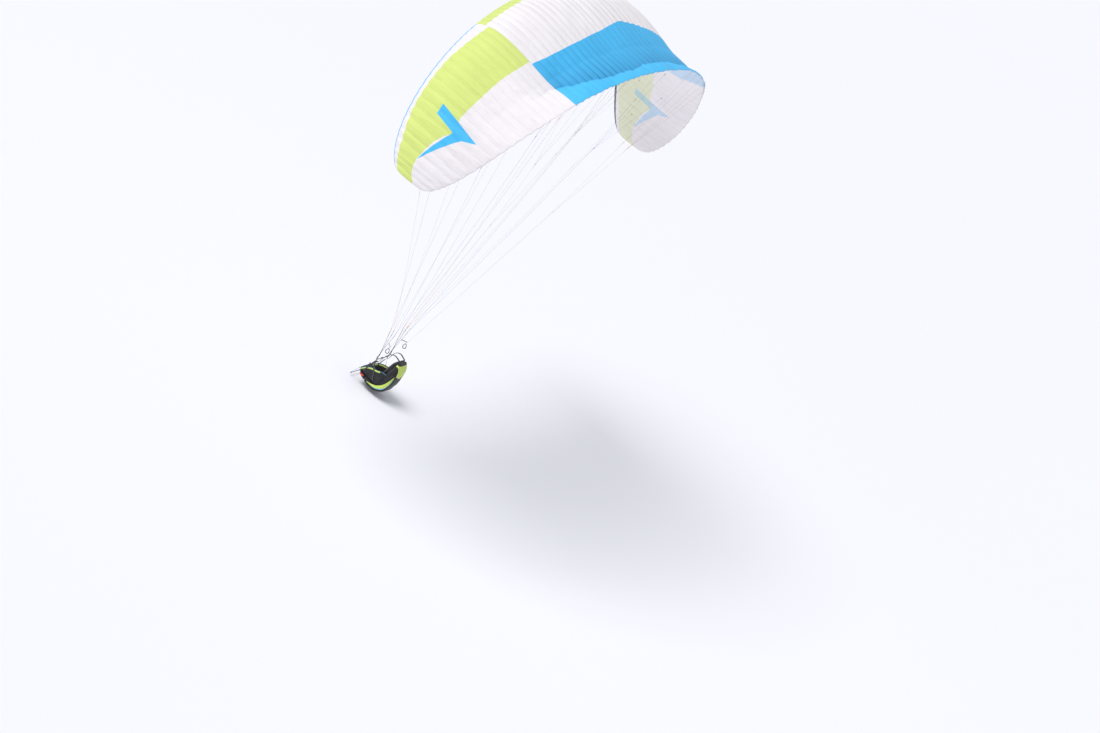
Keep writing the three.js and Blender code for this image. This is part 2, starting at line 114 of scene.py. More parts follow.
class Draft:
    """A material while it is being made: a Principled shader and the nodes that lead to it."""

    def __init__(self, name: str) -> None:
        """Starts the material.

        Args:
            name: the material's name.
        """
        self.material = bpy.data.materials.new(name)
        self.material.use_nodes = True
        self.tree = self.material.node_tree
        self.tree.nodes.clear()
        self.shader = self.tree.nodes.new("ShaderNodeBsdfPrincipled")
        output = self.tree.nodes.new("ShaderNodeOutputMaterial")
        self.tree.links.new(self.shader.outputs[0], output.inputs["Surface"])

    def put(self, kind: str, inputs: dict | tuple | list = (), out: int | str = 0,
            **settings: object) -> Socket:
        """Adds one node.

        Args:
            kind: the node's type, without ShaderNode before it.
            inputs: a constant or a socket for each input, in their order or by name or number.
            out: name or number of the output to hand back.
            settings: the node's own properties.

        Returns:
            The output socket.
        """
        made = self.tree.nodes.new("ShaderNode" + kind)
        for key, value in settings.items():
            setattr(made, key, value)
        for key, value in (inputs.items() if isinstance(inputs, dict) else enumerate(inputs)):
            self.feed(made.inputs[key], value)
        return made.outputs[out]

    def feed(self, target: Socket, value: object) -> None:
        """Links a socket to an input, or sets the input to a constant."""
        if isinstance(value, bpy.types.NodeSocket):
            self.tree.links.new(value, target)
        else:
            target.default_value = value

    def zigzag(self, value: Socket, half: float) -> Socket:
        """A zigzag from 0 to 1 and back over twice the half wave."""
        return self.put("MapRange", (self.put("Math", (value, half), operation="PINGPONG"), 0.0, half))

    def paint(self, colour: str | Colour, *layers: Layer) -> None:
        """Lays colours over one another, as the shader's base colour.

        Args:
            colour: the lowest one.
            layers: the ones over it, from below up.
        """
        below = linear(colour) if isinstance(colour, str) else colour
        for layer in layers:
            over = linear(layer.colour) if isinstance(layer.colour, str) else layer.colour
            share = layer.share
            if layer.strength != 1.0:
                share = self.put("Math", (share, layer.strength), operation="MULTIPLY")
            below = self.put("Mix", {0: share, 6: below, 7: over}, 2, data_type="RGBA", blend_type=layer.mode)
        self.feed(self.shader.inputs["Base Color"], below)

    def emboss(self, *bumps: tuple[Socket, float, float]) -> None:
        """Lays bumps over one another. Each is a height, its strength and the real height in metres."""
        under = {}
        for height, strength, real in bumps:
            inputs = {"Height": height, "Strength": strength, "Distance": real, **under}
            under = {"Normal": self.put("Bump", inputs)}
        self.feed(self.shader.inputs["Normal"], under["Normal"])

    def done(self, inputs: dict[str, Socket | float]) -> bpy.types.Material:
        """Feeds the shader's other inputs and hands the material over."""
        for key, value in inputs.items():
            self.feed(self.shader.inputs[key], value)
        return self.material


@dataclass(frozen=True)
class RipstopNylon:
    """Coated ripstop nylon, woven and dyed: smooth, faintly glossy, with a grid of thicker threads."""

    name: str = "ripstop_nylon_coated"
    white: str = "F4EFF0"
    lime: str = "DAE983"
    blue: str = "4BC3F9"
    # colour of the painted shade at the tail's crease and at its seams
    shade: str = "3D6F95"
    seam: str = "B9B4BC"
    hem: str = "8B8078"
    thread: str = "C9CCD2"
    edge: float = 0.0015
    square: float = 0.024

    def make(self) -> bpy.types.Material:
        """Makes the canopy's material.

        The colour panels come from the signed distances lime and blue that the surface carries, so
        their edges are crisp. The squares are drawn 24 mm wide, three times the real ones, or they
        would not show.

        Returns:
            The material.
        """
        draft = Draft(self.name)
        put = draft.put
        # fold is the strength of the painted shade at the tail's crease, which the canopy works out
        lime, blue, under, seam, hem, fold = (put("Attribute", (), "Fac", attribute_name=key)
                                              for key in ("lime", "blue", "under", "seam", "hem", "fold"))
        place = put("TexCoord", (), "Object")

        # dyed panels, and painted show-through: the lower skin carries the upper skin's panels faintly, as
        # light coming through the cloth shows them
        through = put("Math", (1.0, put("Math", (under, 0.62), operation="MULTIPLY")), operation="SUBTRACT")
        lime_on, blue_on = (put("Math", (put("MapRange", (panel, -self.edge, self.edge)), through),
                                operation="MULTIPLY") for panel in (lime, blue))

        # each panel of cloth took the dye a little differently, and painted shade darkens the tail ahead of its
        # crease and in streaks at the seams, most in the blue
        cloud = put("TexNoise", {"Vector": place, "Scale": 1.1, "Detail": 3.0, "Roughness": 0.55})
        tint = put("MapRange", (cloud, 0.3, 0.7, 0.955, 1.03))
        dyed = put("Math", (put("Math", (blue_on, 0.65), operation="MULTIPLY"), 0.35), operation="ADD")
        painted_crease_shade = put("Math", (fold, dyed), operation="MULTIPLY")

        # felled seams along the ribs, and the grid of thicker threads
        line = put("Math", (seam, 5.0), operation="POWER")
        parts = put("SeparateXYZ", (put("UVMap", uv_map="cloth"),)).node.outputs
        grid = put("Math", [put("MapRange", (put("Math", (part, self.square / 2), operation="PINGPONG"),
                                             self.square * 0.06, 0.0)) for part in parts[:2]],
                   operation="MAXIMUM")
        # the layer in the colour shade is painted shade at the crease
        draft.paint(self.white, Layer(lime_on, self.lime), Layer(blue_on, self.blue),
                    Layer(1.0, tint, mode="MULTIPLY"), Layer(painted_crease_shade, self.shade, 0.60, "MULTIPLY"),
                    Layer(line, self.seam, 0.18, "MULTIPLY"), Layer(hem, self.hem, 0.38),
                    Layer(grid, self.thread, 0.05, "MULTIPLY"))

        # small creases of cloth under tension, mostly along the chord
        drawn = put("Mapping", {"Vector": place, "Scale": (1.9, 21.0, 21.0)})
        crinkle = put("TexNoise", {"Vector": drawn, "Scale": 1.0, "Detail": 4.0, "Roughness": 0.6})
        broad = put("Mapping", {"Vector": place, "Scale": (0.9, 7.5, 7.5)})
        pull = put("TexNoise", {"Vector": broad, "Scale": 1.0, "Detail": 3.0, "Roughness": 0.55})
        draft.emboss((pull, 0.8, 0.045), (crinkle, 0.55, 0.010), (line, 0.3, 0.002), (grid, 0.25, 0.0006))
        rough = put("MapRange", (crinkle, 0.3, 0.7, 0.52, 0.68))
        return draft.done({"Roughness": rough, "IOR": 1.5, "Specular IOR Level": 0.32,
                           "Sheen Weight": 0.12, "Sheen Roughness": 0.4})


@dataclass(frozen=True)
class BraidedSheath:
    """Braided polyester over a stiff core: a matt cord with a fine herringbone of strands."""

    name: str
    hex: str
    dark: str
    strand: float = 0.004

    def make(self) -> bpy.types.Material:
        """Makes the cord's material. The braid is drawn 4 mm long, twice the real one, so that it shows."""
        draft = Draft(self.name)
        spot = draft.put("Mapping", {"Vector": draft.put("UVMap", uv_map="along"),
                                     "Scale": (1 / self.strand, 2.0, 1.0)})
        braid = draft.put("TexWave", {"Vector": spot, "Scale": 0.32, "Distortion": 1.2, "Detail": 1.0}, 1,
                          wave_type="BANDS", bands_direction="DIAGONAL")
        draft.paint(self.dark, Layer(braid, self.hex))
        draft.emboss((braid, 0.6, 0.0003))
        return draft.done({"Roughness": 0.62, "Sheen Weight": 0.2})


@dataclass(frozen=True)
class WovenWebbing:
    """Woven polyester webbing: close ribs across it, a glossier selvedge, and rows of lock stitches."""

    name: str
    hex: str
    thread: str
    edge: float = 0.004
    half: float = 0.011
    worn: str = "55565C"
    rib: float = 0.00125
    twill: float = 0.0016

    def make(self) -> bpy.types.Material:
        """Makes the webbing's material. Its weave ribs are 2.5 mm apart and its stitches 5 mm long."""
        draft = Draft(self.name)
        put = draft.put
        far, across, _ = put("SeparateXYZ", (put("UVMap", uv_map="along"),)).node.outputs
        off = put("Math", (across,), operation="ABSOLUTE")
        twill = draft.zigzag(put("Math", (off, far), operation="ADD"), self.twill)
        slant = put("Math", (put("Math", (twill, 0.5), operation="MULTIPLY"), 0.5), operation="ADD")
        weave = put("Math", (draft.zigzag(far, self.rib), slant), operation="MULTIPLY")
        worn = put("TexNoise", {"Vector": put("TexCoord", (), "Object"), "Scale": 22.0, "Detail": 4.0})
        row = put("Math", (put("Math", (off, self.half - self.edge), operation="SUBTRACT"),),
                  operation="ABSOLUTE")
        dash = put("MapRange", (put("Math", (far, 0.0025), operation="PINGPONG"), 0.0007, 0.0011))
        stitch = put("Math", (put("MapRange", (row, 0.0011, 0.0006)), dash), operation="MULTIPLY")
        draft.paint(self.hex, Layer(weave, linear(self.hex, 2.1, 0.006)), Layer(worn, self.worn, 0.25),
                    Layer(stitch, self.thread))
        draft.emboss((weave, 0.8, 0.0005), (stitch, 0.8, 0.0006))
        return draft.done({"Roughness": 0.74, "Sheen Weight": 0.3})


@dataclass(frozen=True)
class WovenPolyamide:
    """Coarse woven polyamide, coated on the back: matt, with a visible basket weave and pale worn edges.

    The accents lime and trim are panels sewn in, and come from signed distances that the surface carries.
    """

    name: str = "woven_polyamide_coated"
    hex: str = "17181B"
    lime: str = "D3EA6B"
    trim: str = "7CCDF0"
    worn: str = "2A2B30"
    thread: float = 0.0026

    def make(self) -> bpy.types.Material:
        """Makes the harness fabric's material. The threads are drawn 2.6 mm apart, twice the real ones."""
        draft = Draft(self.name)
        put = draft.put
        place = put("TexCoord", (), "Object")
        x, y, z = put("SeparateXYZ", (place,)).node.outputs
        lean = put("Math", (put("Math", (z, x), operation="SUBTRACT"), 0.5), operation="MULTIPLY")
        weave = put("Math", [draft.zigzag(put("Math", pair, operation="ADD"), self.thread / 2)
                             for pair in ((x, z), (y, lean))], operation="MULTIPLY")
        lime, trim, seam = (put("Attribute", (), "Fac", attribute_name=key) for key in ("lime", "blue", "seam"))
        wear = put("TexNoise", {"Vector": place, "Scale": 9.0, "Detail": 6.0})
        draft.paint(self.hex, Layer(put("MapRange", (wear, 0.45, 0.75)), self.worn),
                    Layer(put("MapRange", (lime, 0.0, 0.001)), self.lime),
                    Layer(put("MapRange", (trim, 0.0, 0.001)), self.trim),
                    Layer(weave, "8C8D92", 0.28, "SOFT_LIGHT"),
                    Layer(put("MapRange", (seam, 0.5, 1.0)), "77787C", 0.5, "MULTIPLY"))
        crease = put("TexNoise", {"Vector": place, "Scale": 16.0, "Detail": 5.0})
        draft.emboss((weave, 0.7, 0.0005), (crease, 0.35, 0.006))
        return draft.done({"Roughness": 0.78, "Sheen Weight": 0.35, "Sheen Roughness": 0.45})


@dataclass(frozen=True)
class SpacerMesh:
    """Knitted spacer fabric over foam: soft and open, with a hexagonal net of small holes."""

    name: str = "spacer_mesh_over_foam"
    hex: str = "232428"
    gap: str = "08080A"
    worn: str = "34353B"
    seam: str = "101012"
    hole: float = 0.005

    def make(self) -> bpy.types.Material:
        """Makes the pads' material. The net's holes are 5 mm apart."""
        draft = Draft(self.name)
        put = draft.put
        place = put("TexCoord", (), "Object")
        cell = put("TexVoronoi", {"Vector": place, "Scale": 1 / self.hole, "Randomness": 0.25}, "Distance")
        net = put("MapRange", (cell, 0.22, 0.42))
        wear = put("TexNoise", {"Vector": place, "Scale": 7.0, "Detail": 5.0})
        seam = put("Attribute", (), "Fac", attribute_name="seam")
        draft.paint(self.gap, Layer(net, self.hex), Layer(put("MapRange", (wear, 0.5, 0.8)), self.worn),
                    Layer(put("MapRange", (seam, 0.5, 0.9)), self.seam))
        draft.emboss((net, 0.8, 0.001))
        return draft.done({"Roughness": 0.85, "Sheen Weight": 0.45})


@dataclass(frozen=True)
class Metal:
    """A bare or anodised metal, drawn and tumbled: fine lines along it and soft polished edges."""

    name: str
    hex: str
    rough: float
    lines: float = 900.0

    def make(self) -> bpy.types.Material:
        """Makes the metal's material. Its draw lines are about a millimetre apart."""
        draft = Draft(self.name)
        put = draft.put
        place = put("TexCoord", (), "Object")
        drawn = put("Mapping", {"Vector": place, "Scale": (1.0, 1.0, 0.06)})
        grain = put("TexNoise", {"Vector": drawn, "Scale": self.lines, "Detail": 2.0})
        smudge = put("TexNoise", {"Vector": place, "Scale": 60.0, "Detail": 4.0})
        both = put("Math", [put("Math", pair, operation="MULTIPLY") for pair in ((grain, 0.4), (smudge, 0.6))],
                   operation="ADD")
        rough = put("MapRange", (both, 0.35, 0.65, self.rough * 0.75, self.rough * 1.35))
        draft.paint(linear(self.hex, 0.72), Layer(put("MapRange", (smudge, 0.3, 0.7)), self.hex))
        draft.emboss((grain, 0.15, 0.0001))
        return draft.done({"Roughness": rough, "Metallic": 1.0})


@dataclass(frozen=True)
class MouldedNylon:
    """Glass-filled nylon, injection moulded: a fine spark-eroded grain and scuffed corners."""

    name: str
    hex: str

    def make(self) -> bpy.types.Material:
        """Makes the plastic's material. Its grain is half a millimetre."""
        draft = Draft(self.name)
        place = draft.put("TexCoord", (), "Object")
        grain = draft.put("TexNoise", {"Vector": place, "Scale": 1900.0, "Detail": 2.0})
        scuff = draft.put("TexNoise", {"Vector": place, "Scale": 70.0, "Detail": 6.0})
        draft.paint(self.hex, Layer(draft.put("MapRange", (scuff, 0.52, 0.7)), linear(self.hex, 1.5, 0.012)))
        draft.emboss((grain, 0.3, 0.0001))
        return draft.done({"Roughness": draft.put("MapRange", (scuff, 0.0, 1.0, 0.36, 0.6)), "IOR": 1.53})


@dataclass(frozen=True)
class Plywood:
    """Birch plywood, sanded and oiled: pale, with long darker grain lines across the seat."""

    name: str = "birch_plywood_oiled"
    pale: str = "C79B66"
    dark: str = "8E6437"

    def make(self) -> bpy.types.Material:
        """Makes the seat board's material. Its grain lines are 4 mm apart and 18 times as long."""
        draft = Draft(self.name)
        place = draft.put("TexCoord", (), "Object")
        drawn = draft.put("Mapping", {"Vector": place, "Scale": (250.0, 14.0, 250.0)})
        grain = draft.put("TexNoise", {"Vector": drawn, "Scale": 1.0, "Detail": 5.0})
        draft.paint(self.dark, Layer(draft.put("MapRange", (grain, 0.35, 0.65)), self.pale))
        draft.emboss((grain, 0.3, 0.0003))
        return draft.done({"Roughness": 0.5})


class Finishes:
    """Every material of the glider, made once."""

    def __init__(self) -> None:
        """Makes the materials."""
        self.canopy = RipstopNylon().make()
        self.line_red = BraidedSheath("braided_polyester_red", "C9473C", "8E2A22").make()
        self.line_yellow = BraidedSheath("braided_polyester_yellow", "E3BC4A", "A9842A").make()
        self.line_blue = BraidedSheath("braided_polyester_blue", "4A82BD", "2C5484").make()
        self.brake_cord = BraidedSheath("braided_polyester_orange", "E5943A", "A8601C").make()
        self.speed_cord = BraidedSheath("braided_polyamide_blue", "3D86C6", "1E4C7C").make()
        self.webbing = WovenWebbing("woven_polyester_webbing_black", "1D1E22", "9EA3AB").make()
        self.wide_webbing = WovenWebbing("woven_polyester_webbing_wide", "1A1B1F", "8C9199", half=0.02).make()
        self.fabric = WovenPolyamide().make()
        self.foam = SpacerMesh().make()
        self.orange = WovenWebbing("woven_handle_orange", "E8482A", "F4D9C8", half=0.018).make()
        self.alloy = Metal("aluminium_anodised_grey", "9DA1A8", 0.26).make()
        self.steel = Metal("stainless_steel_tumbled", "C3C5C7", 0.2).make()
        self.plastic = MouldedNylon("nylon_moulded_black", "141517").make()
        self.plywood = Plywood().make()


# Meshes


def unit(vectors: Array) -> Array:
    """The same vectors at length 1."""
    vectors = np.asarray(vectors, float)
    return vectors / np.maximum(np.linalg.norm(vectors, axis=-1, keepdims=True), 1e-12)


def circle(count: int, closed: bool = False) -> Array:
    """Angles evenly round a circle. Closed, the last one is the first again."""
    return np.linspace(0, 2 * math.pi, count, endpoint=closed)


def hoop(count: int = 41) -> Array:
    """A closed circle of radius 1 in the plane of X and Z, from its top round to its top."""
    turn = circle(count, True)
    return np.stack([np.sin(turn), 0 * turn, np.cos(turn)], -1)


def signed_power(value: Array, power: float) -> Array:
    """sign(value) |value|^power, which makes a circle's cosine and sine a superellipse."""
    return np.sign(value) * np.abs(value) ** power


def ease(share: Array) -> Array:
    """A soft step from 0 to 1, 3u^2 - 2u^3."""
    return share * share * (3 - 2 * share)


def grid_quads(rows: int, cols: int, wrap_rows: bool = False, wrap_cols: bool = False) -> Array:
    """Faces of a grid of rows by cols points, numbered row by row.

    Args:
        rows: number of rows.
        cols: number of columns.
        wrap_rows: whether the last row joins the first.
        wrap_cols: whether the last column joins the first.

    Returns:
        m by 4 indices.
    """
    r = np.arange(rows if wrap_rows else rows - 1)[:, None]
    c = np.arange(cols if wrap_cols else cols - 1)[None, :]
    r2, c2 = (r + 1) % rows, (c + 1) % cols
    return np.stack([r * cols + c, r * cols + c2, r2 * cols + c2, r2 * cols + c], -1).reshape(-1, 4)


def grid_normals(points: Array) -> Array:
    """Unit normals of a grid of places: the cross product of the steps along rows and along columns."""
    return unit(np.cross(np.gradient(points, axis=0), np.gradient(points, axis=1)))


def frames(path: Array, wide: Array | None = None) -> tuple[Array, Array]:
    """Directions at each place of a path: across it, and up from its face.

    The across direction is the given one with its part along the path taken off.

    Args:
        path: n by 3 places.
        wide: n by 3 or 3 numbers, roughly across the path.

    Returns:
        Two n by 3 arrays of unit vectors.
    """
    along = unit(np.gradient(path, axis=0))
    if wide is None:
        wide = np.eye(3)[int(np.argmin(np.abs(along).mean(0)))]
    wide = np.broadcast_to(np.asarray(wide, float), path.shape)
    across = unit(wide - along * (wide * along).sum(1, keepdims=True))
    return across, np.cross(along, across)


def travelled(path: Array) -> Array:
    """Distance along a path at each of its points."""
    return np.concatenate([[0.0], np.cumsum(np.linalg.norm(np.diff(path, axis=0), axis=1))])


def hermite(t: Array, p: Array, at: Array) -> Array:
    """Cubic interpolation with the slope at each knot from its two neighbours.

    Args:
        t: rising knot places.
        p: values at the knots, one row each.
        at: where to work it out.

    Returns:
        The values, one row for each place.
    """
    p = p.reshape(len(t), -1)
    slope = np.gradient(p, t, axis=0)
    i = np.clip(np.searchsorted(t, at, side="right") - 1, 0, len(t) - 2)
    h = (t[i + 1] - t[i])[:, None]
    u = (at - t[i])[:, None] / h
    return ((2 * u**3 - 3 * u**2 + 1) * p[i] + (u**3 - 2 * u**2 + u) * h * slope[i]
            + (3 * u**2 - 2 * u**3) * p[i + 1] + (u**3 - u**2) * h * slope[i + 1])


def smooth_path(points: list | Array, count: int) -> Array:
    """A smooth path through points: a cubic in the distance between them.

    Args:
        points: places to pass through, in order.
        count: how many places the path has.

    Returns:
        count by 3 places, evenly spread.
    """
    p = np.asarray(points, float)
    t = travelled(p)
    return hermite(t, p, np.linspace(0, t[-1], count))


def ride(piece: bpy.types.Object, body: str, slot: str, *nodes: str) -> bpy.types.Object:
    """Hands a finished piece over: its body and the nodes that it stands for.

    Args:
        piece: the object.
        body: the body that it moves with.
        slot: the material slot of the record; not used.
        nodes: the nodes that it replaces.

    Returns:
        The same object.
    """
    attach(piece, body)
    if nodes:
        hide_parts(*nodes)
    LOG.info("%s rides on %s, %d faces", piece.name, body, len(piece.data.polygons))
    return piece


def bend(piece: bpy.types.Object, body: str, start: Array, end: Array, slot: str, *nodes: str) -> None:
    """Bakes the place of a finished piece that lies between the wing and another body into its mesh, and hides
    the nodes that it replaces.

    Args:
        piece: the object.
        body: the other body, only named in the log.
        start: where it would start to turn; not used.
        end: where it would have turned fully; not used.
        slot: the material slot of the record; not used.
        nodes: the nodes that it replaces.
    """
    tuple(start)
    tuple(end)
    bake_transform(piece)
    if nodes:
        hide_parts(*nodes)
    LOG.info("%s bends between wing and %s, %d faces", piece.name, body, len(piece.data.polygons))


@dataclass
class Surface:
    """Points, faces and values of a mesh while it is being made.

    Everything is given as it lies on the left side, and mirrored where it is for the right one.
    """

    mirror: Array | float = 1.0
    points: list[Array] = field(default_factory=list)
    quads: list[Array] = field(default_factory=list)
    tris: list[Array] = field(default_factory=list)
    values: dict[str, list[Array]] = field(default_factory=dict)
    count: int = 0

    def take(self, points: Array, quads: Array, tris: Array | None = None, **values: Array) -> None:
        """Adds a patch.

        Args:
            points: n by 3 places.
            quads: m by 4 indices into points.
            tris: k by 3 indices into points.
            values: one number or pair for each point, by name.
        """
        points = np.asarray(points, float).reshape(-1, 3) * self.mirror
        self.points.append(points)
        self.quads.append(np.asarray(quads, int).reshape(-1, 4) + self.count)
        if tris is not None:
            self.tris.append(np.asarray(tris, int).reshape(-1, 3) + self.count)
        for key in set(values) | set(self.values):
            rows = self.values.setdefault(key, [])
            wide = 2 if key in UV_NAMES else 1
            have = sum(len(r) for r in rows)
            if have < self.count:
                rows.append(np.zeros((self.count - have, wide)))
            given = values.get(key, np.zeros((len(points), wide)))
            rows.append(np.asarray(given, float).reshape(len(points), wide))
        self.count += len(points)

    def wrap(self, grid: Array, ends: Array, **values: tuple[Array, Array]) -> None:
        """Adds a closed form: rows of points round it, and one point that closes each end.

        Args:
            grid: rows by sides by 3 places.
            ends: the two places that close it.
            values: for each name the values on the grid, and the two at the ends.
        """
        rows, sides = grid.shape[:2]
        j, total = np.arange(sides), rows * sides
        after, last = (j + 1) % sides, total - sides
        tris = np.concatenate([np.stack([np.full(sides, total), after, j], -1),
                               np.stack([np.full(sides, total + 1), last + j, last + after], -1)])
        joined = {key: np.concatenate([np.reshape(on, (total, -1)), np.reshape(off, (2, -1))])
                  for key, (on, off) in values.items()}
        faces = grid_quads(rows, sides, wrap_cols=True)
        self.take(np.concatenate([grid.reshape(-1, 3), ends]), faces, tris, **joined)

    def sweep(self, path: Array, across: Array, up: Array, x: Array, y: Array, off: Array) -> None:
        """Adds a section carried along a path, closed at both ends.

        Args:
            path: n by 3 places.
            across: directions across it.
            up: directions up from it.
            x: n by m places of the section across.
            y: n by m places of the section upwards.
            off: what the piece's own map gives across, n by m or m.
        """
        far = travelled(path)
        along = np.stack(np.broadcast_arrays(far[:, None], off), -1)
        self.wrap(path[:, None] + across[:, None] * x[..., None] + up[:, None] * y[..., None], path[[0, -1]],
                  along=(along, [[0, 0], [far[-1], 0]]))

    def tube(self, path: Array, radius: float | Array, sides: int = 8) -> None:
        """Adds a round cord: a circle carried along a path.

        Args:
            path: n by 3 places.
            radius: one radius, or one for each place.
            sides: points round the circle.
        """
        radius = np.broadcast_to(np.asarray(radius, float), (len(path),))[:, None]
        turn = circle(sides)
        self.sweep(path, *frames(path), np.cos(turn) * radius, np.sin(turn) * radius, turn / (2 * math.pi))

    def strap(self, path: Array, wide: Array | None, width: float | Array, thick: float | Array,
              soft: float = 0.5) -> None:
        """Adds webbing: a flat section with rounded edges carried along a path.

        The section is a superellipse scaled to the width and the thickness, |x|^4 + |y|^3.3 = 1 at soft 0.5.

        Args:
            path: n by 3 places.
            wide: the direction of its width.
            width: its width, or one for each place.
            thick: its thickness, or one for each place.
            soft: how round the edges are, from 0 to 1.
        """
        width, thick = (np.broadcast_to(np.asarray(v, float), (len(path),))[:, None] for v in (width, thick))
        turn = circle(20)
        x = signed_power(np.cos(turn), 0.35 + 0.3 * soft) * width / 2
        y = signed_power(np.sin(turn), 0.4 + 0.4 * soft) * thick / 2
        self.sweep(path, *frames(path, wide), x, y, x)

    def lathe(self, start: Array, axis: Array, profile: list | Array, sides: int = 40) -> None:
        """Adds a turned form, closed at both ends.

        Args:
            start: where the axis starts.
            axis: its direction.
            profile: n by 2, distance along the axis and radius.
            sides: points round.
        """
        axis, profile = unit(axis), np.asarray(profile, float)
        a = unit(np.cross(axis, np.eye(3)[int(np.argmin(np.abs(axis)))]))
        turn = circle(sides)[:, None]
        ring = a * np.cos(turn) + np.cross(axis, a) * np.sin(turn)
        spine = np.asarray(start, float) + axis * profile[:, :1]
        self.wrap(spine[:, None] + ring * profile[:, 1, None, None], spine[[0, -1]])

    def ring(self, path: Array, radius: float, sides: int = 14) -> None:
        """Adds a closed ring of round bar.

        Args:
            path: n by 3 places of a closed flat path, the last one not repeated.
            radius: the bar's radius.
            sides: points round the bar.
        """
        up = unit(np.cross(path[1] - path[0], path[len(path) // 3] - path[0]))
        across = np.cross(unit(np.roll(path, -1, 0) - np.roll(path, 1, 0)), up)
        turn = circle(sides)[:, None]
        self.take(path[:, None] + across[:, None] * np.cos(turn) * radius + up * np.sin(turn) * radius,
                  grid_quads(len(path), sides, wrap_rows=True, wrap_cols=True))

    def cloth(self, outer: Array, normals: Array, thick: float, **values: Array) -> None:
        """Adds a thin closed sheet: the outer grid, the same grid moved in, and a rim round both.

        Args:
            outer: rows by cols by 3 places of the outer face.
            normals: unit normals of the outer face, pointing out.
            thick: the cloth's thickness as drawn.
            values: rows by cols (by 2) values by name.
        """
        rows, cols = outer.shape[:2]
        n = rows * cols
        face = grid_quads(rows, cols)
        edge = np.concatenate([np.arange(cols), np.arange(1, rows) * cols + cols - 1,
                               (rows - 1) * cols + np.arange(cols - 2, -1, -1),
                               np.arange(rows - 2, 0, -1) * cols])
        after = np.roll(edge, -1)
        rim = np.stack([after, edge, edge + n, after + n], -1)
        both = {key: np.concatenate([v.reshape(n, -1)] * 2) for key, v in values.items()}
        # the inner faces are painted pale, almost without dye colour, for light coming through the cloth into
        # the cells
        if "under" in both:
            both["under"][n:] = INNER_FACE_PAINTED_PALE
        # the inner faces are split along the same diagonals as the outer ones, or they would cross
        self.take(np.stack([outer, outer - normals * thick]),
                  np.concatenate([face, face[:, [0, 3, 2, 1]] + n, rim]), **both)

    def build(self, name: str, finish: bpy.types.Material, outward: bool = True) -> bpy.types.Object:
        """Makes the mesh object. A closed mesh whose signed volume comes out negative is turned round.

        Args:
            name: the piece's name.
            finish: its material.
            outward: whether to turn the faces outwards by the sign of the volume.

        Returns:
            The object, in the scene.
        """
        points = np.concatenate(self.points)
        quads = np.concatenate(self.quads)
        tris = np.concatenate(self.tris) if self.tris else np.zeros((0, 3), int)
        if outward:
            split = np.concatenate([quads[:, [0, 1, 2]], quads[:, [0, 2, 3]], tris])
            a, b, c = (points[split[:, i]] - points.mean(0) for i in range(3))
            if float((a * np.cross(b, c)).sum()) < 0:
                quads, tris = quads[:, ::-1], tris[:, ::-1]
        corners = np.concatenate([quads.ravel(), tris.ravel()])
        starts = np.concatenate([np.arange(len(quads)) * 4, len(quads) * 4 + np.arange(len(tris)) * 3])
        mesh = bpy.data.meshes.new(name)
        mesh.vertices.add(len(points))
        mesh.vertices.foreach_set("co", points.astype(np.float32).ravel())
        mesh.loops.add(len(corners))
        mesh.loops.foreach_set("vertex_index", corners.astype(np.int32))
        mesh.polygons.add(len(starts))
        mesh.polygons.foreach_set("loop_start", starts.astype(np.int32))
        mesh.update(calc_edges=True)
        for key, rows in self.values.items():
            data = np.concatenate(rows).astype(np.float32)
            if key in UV_NAMES:
                mesh.uv_layers.new(name=key).data.foreach_set("uv", data[corners].ravel())
            else:
                mesh.attributes.new(key, "FLOAT", "POINT").data.foreach_set("value", data.ravel())
        mesh.polygons.foreach_set("use_smooth", np.ones(len(starts), bool))
        mesh.set_sharp_from_angle(angle=SHARP_ANGLE)
        mesh.materials.append(finish)
        mesh.validate()
        piece = bpy.data.objects.new(name, mesh)
        bpy.context.scene.collection.objects.link(piece)
        return piece

    def deliver(self, name: str, finish: bpy.types.Material, body: str, slot: str, *nodes: str,
                outward: bool = True) -> bpy.types.Object:
        """Builds the piece and hands it over, with the arguments of build and of ride."""
        return ride(self.build(name, finish, outward), body, slot, *nodes)


# The canopy


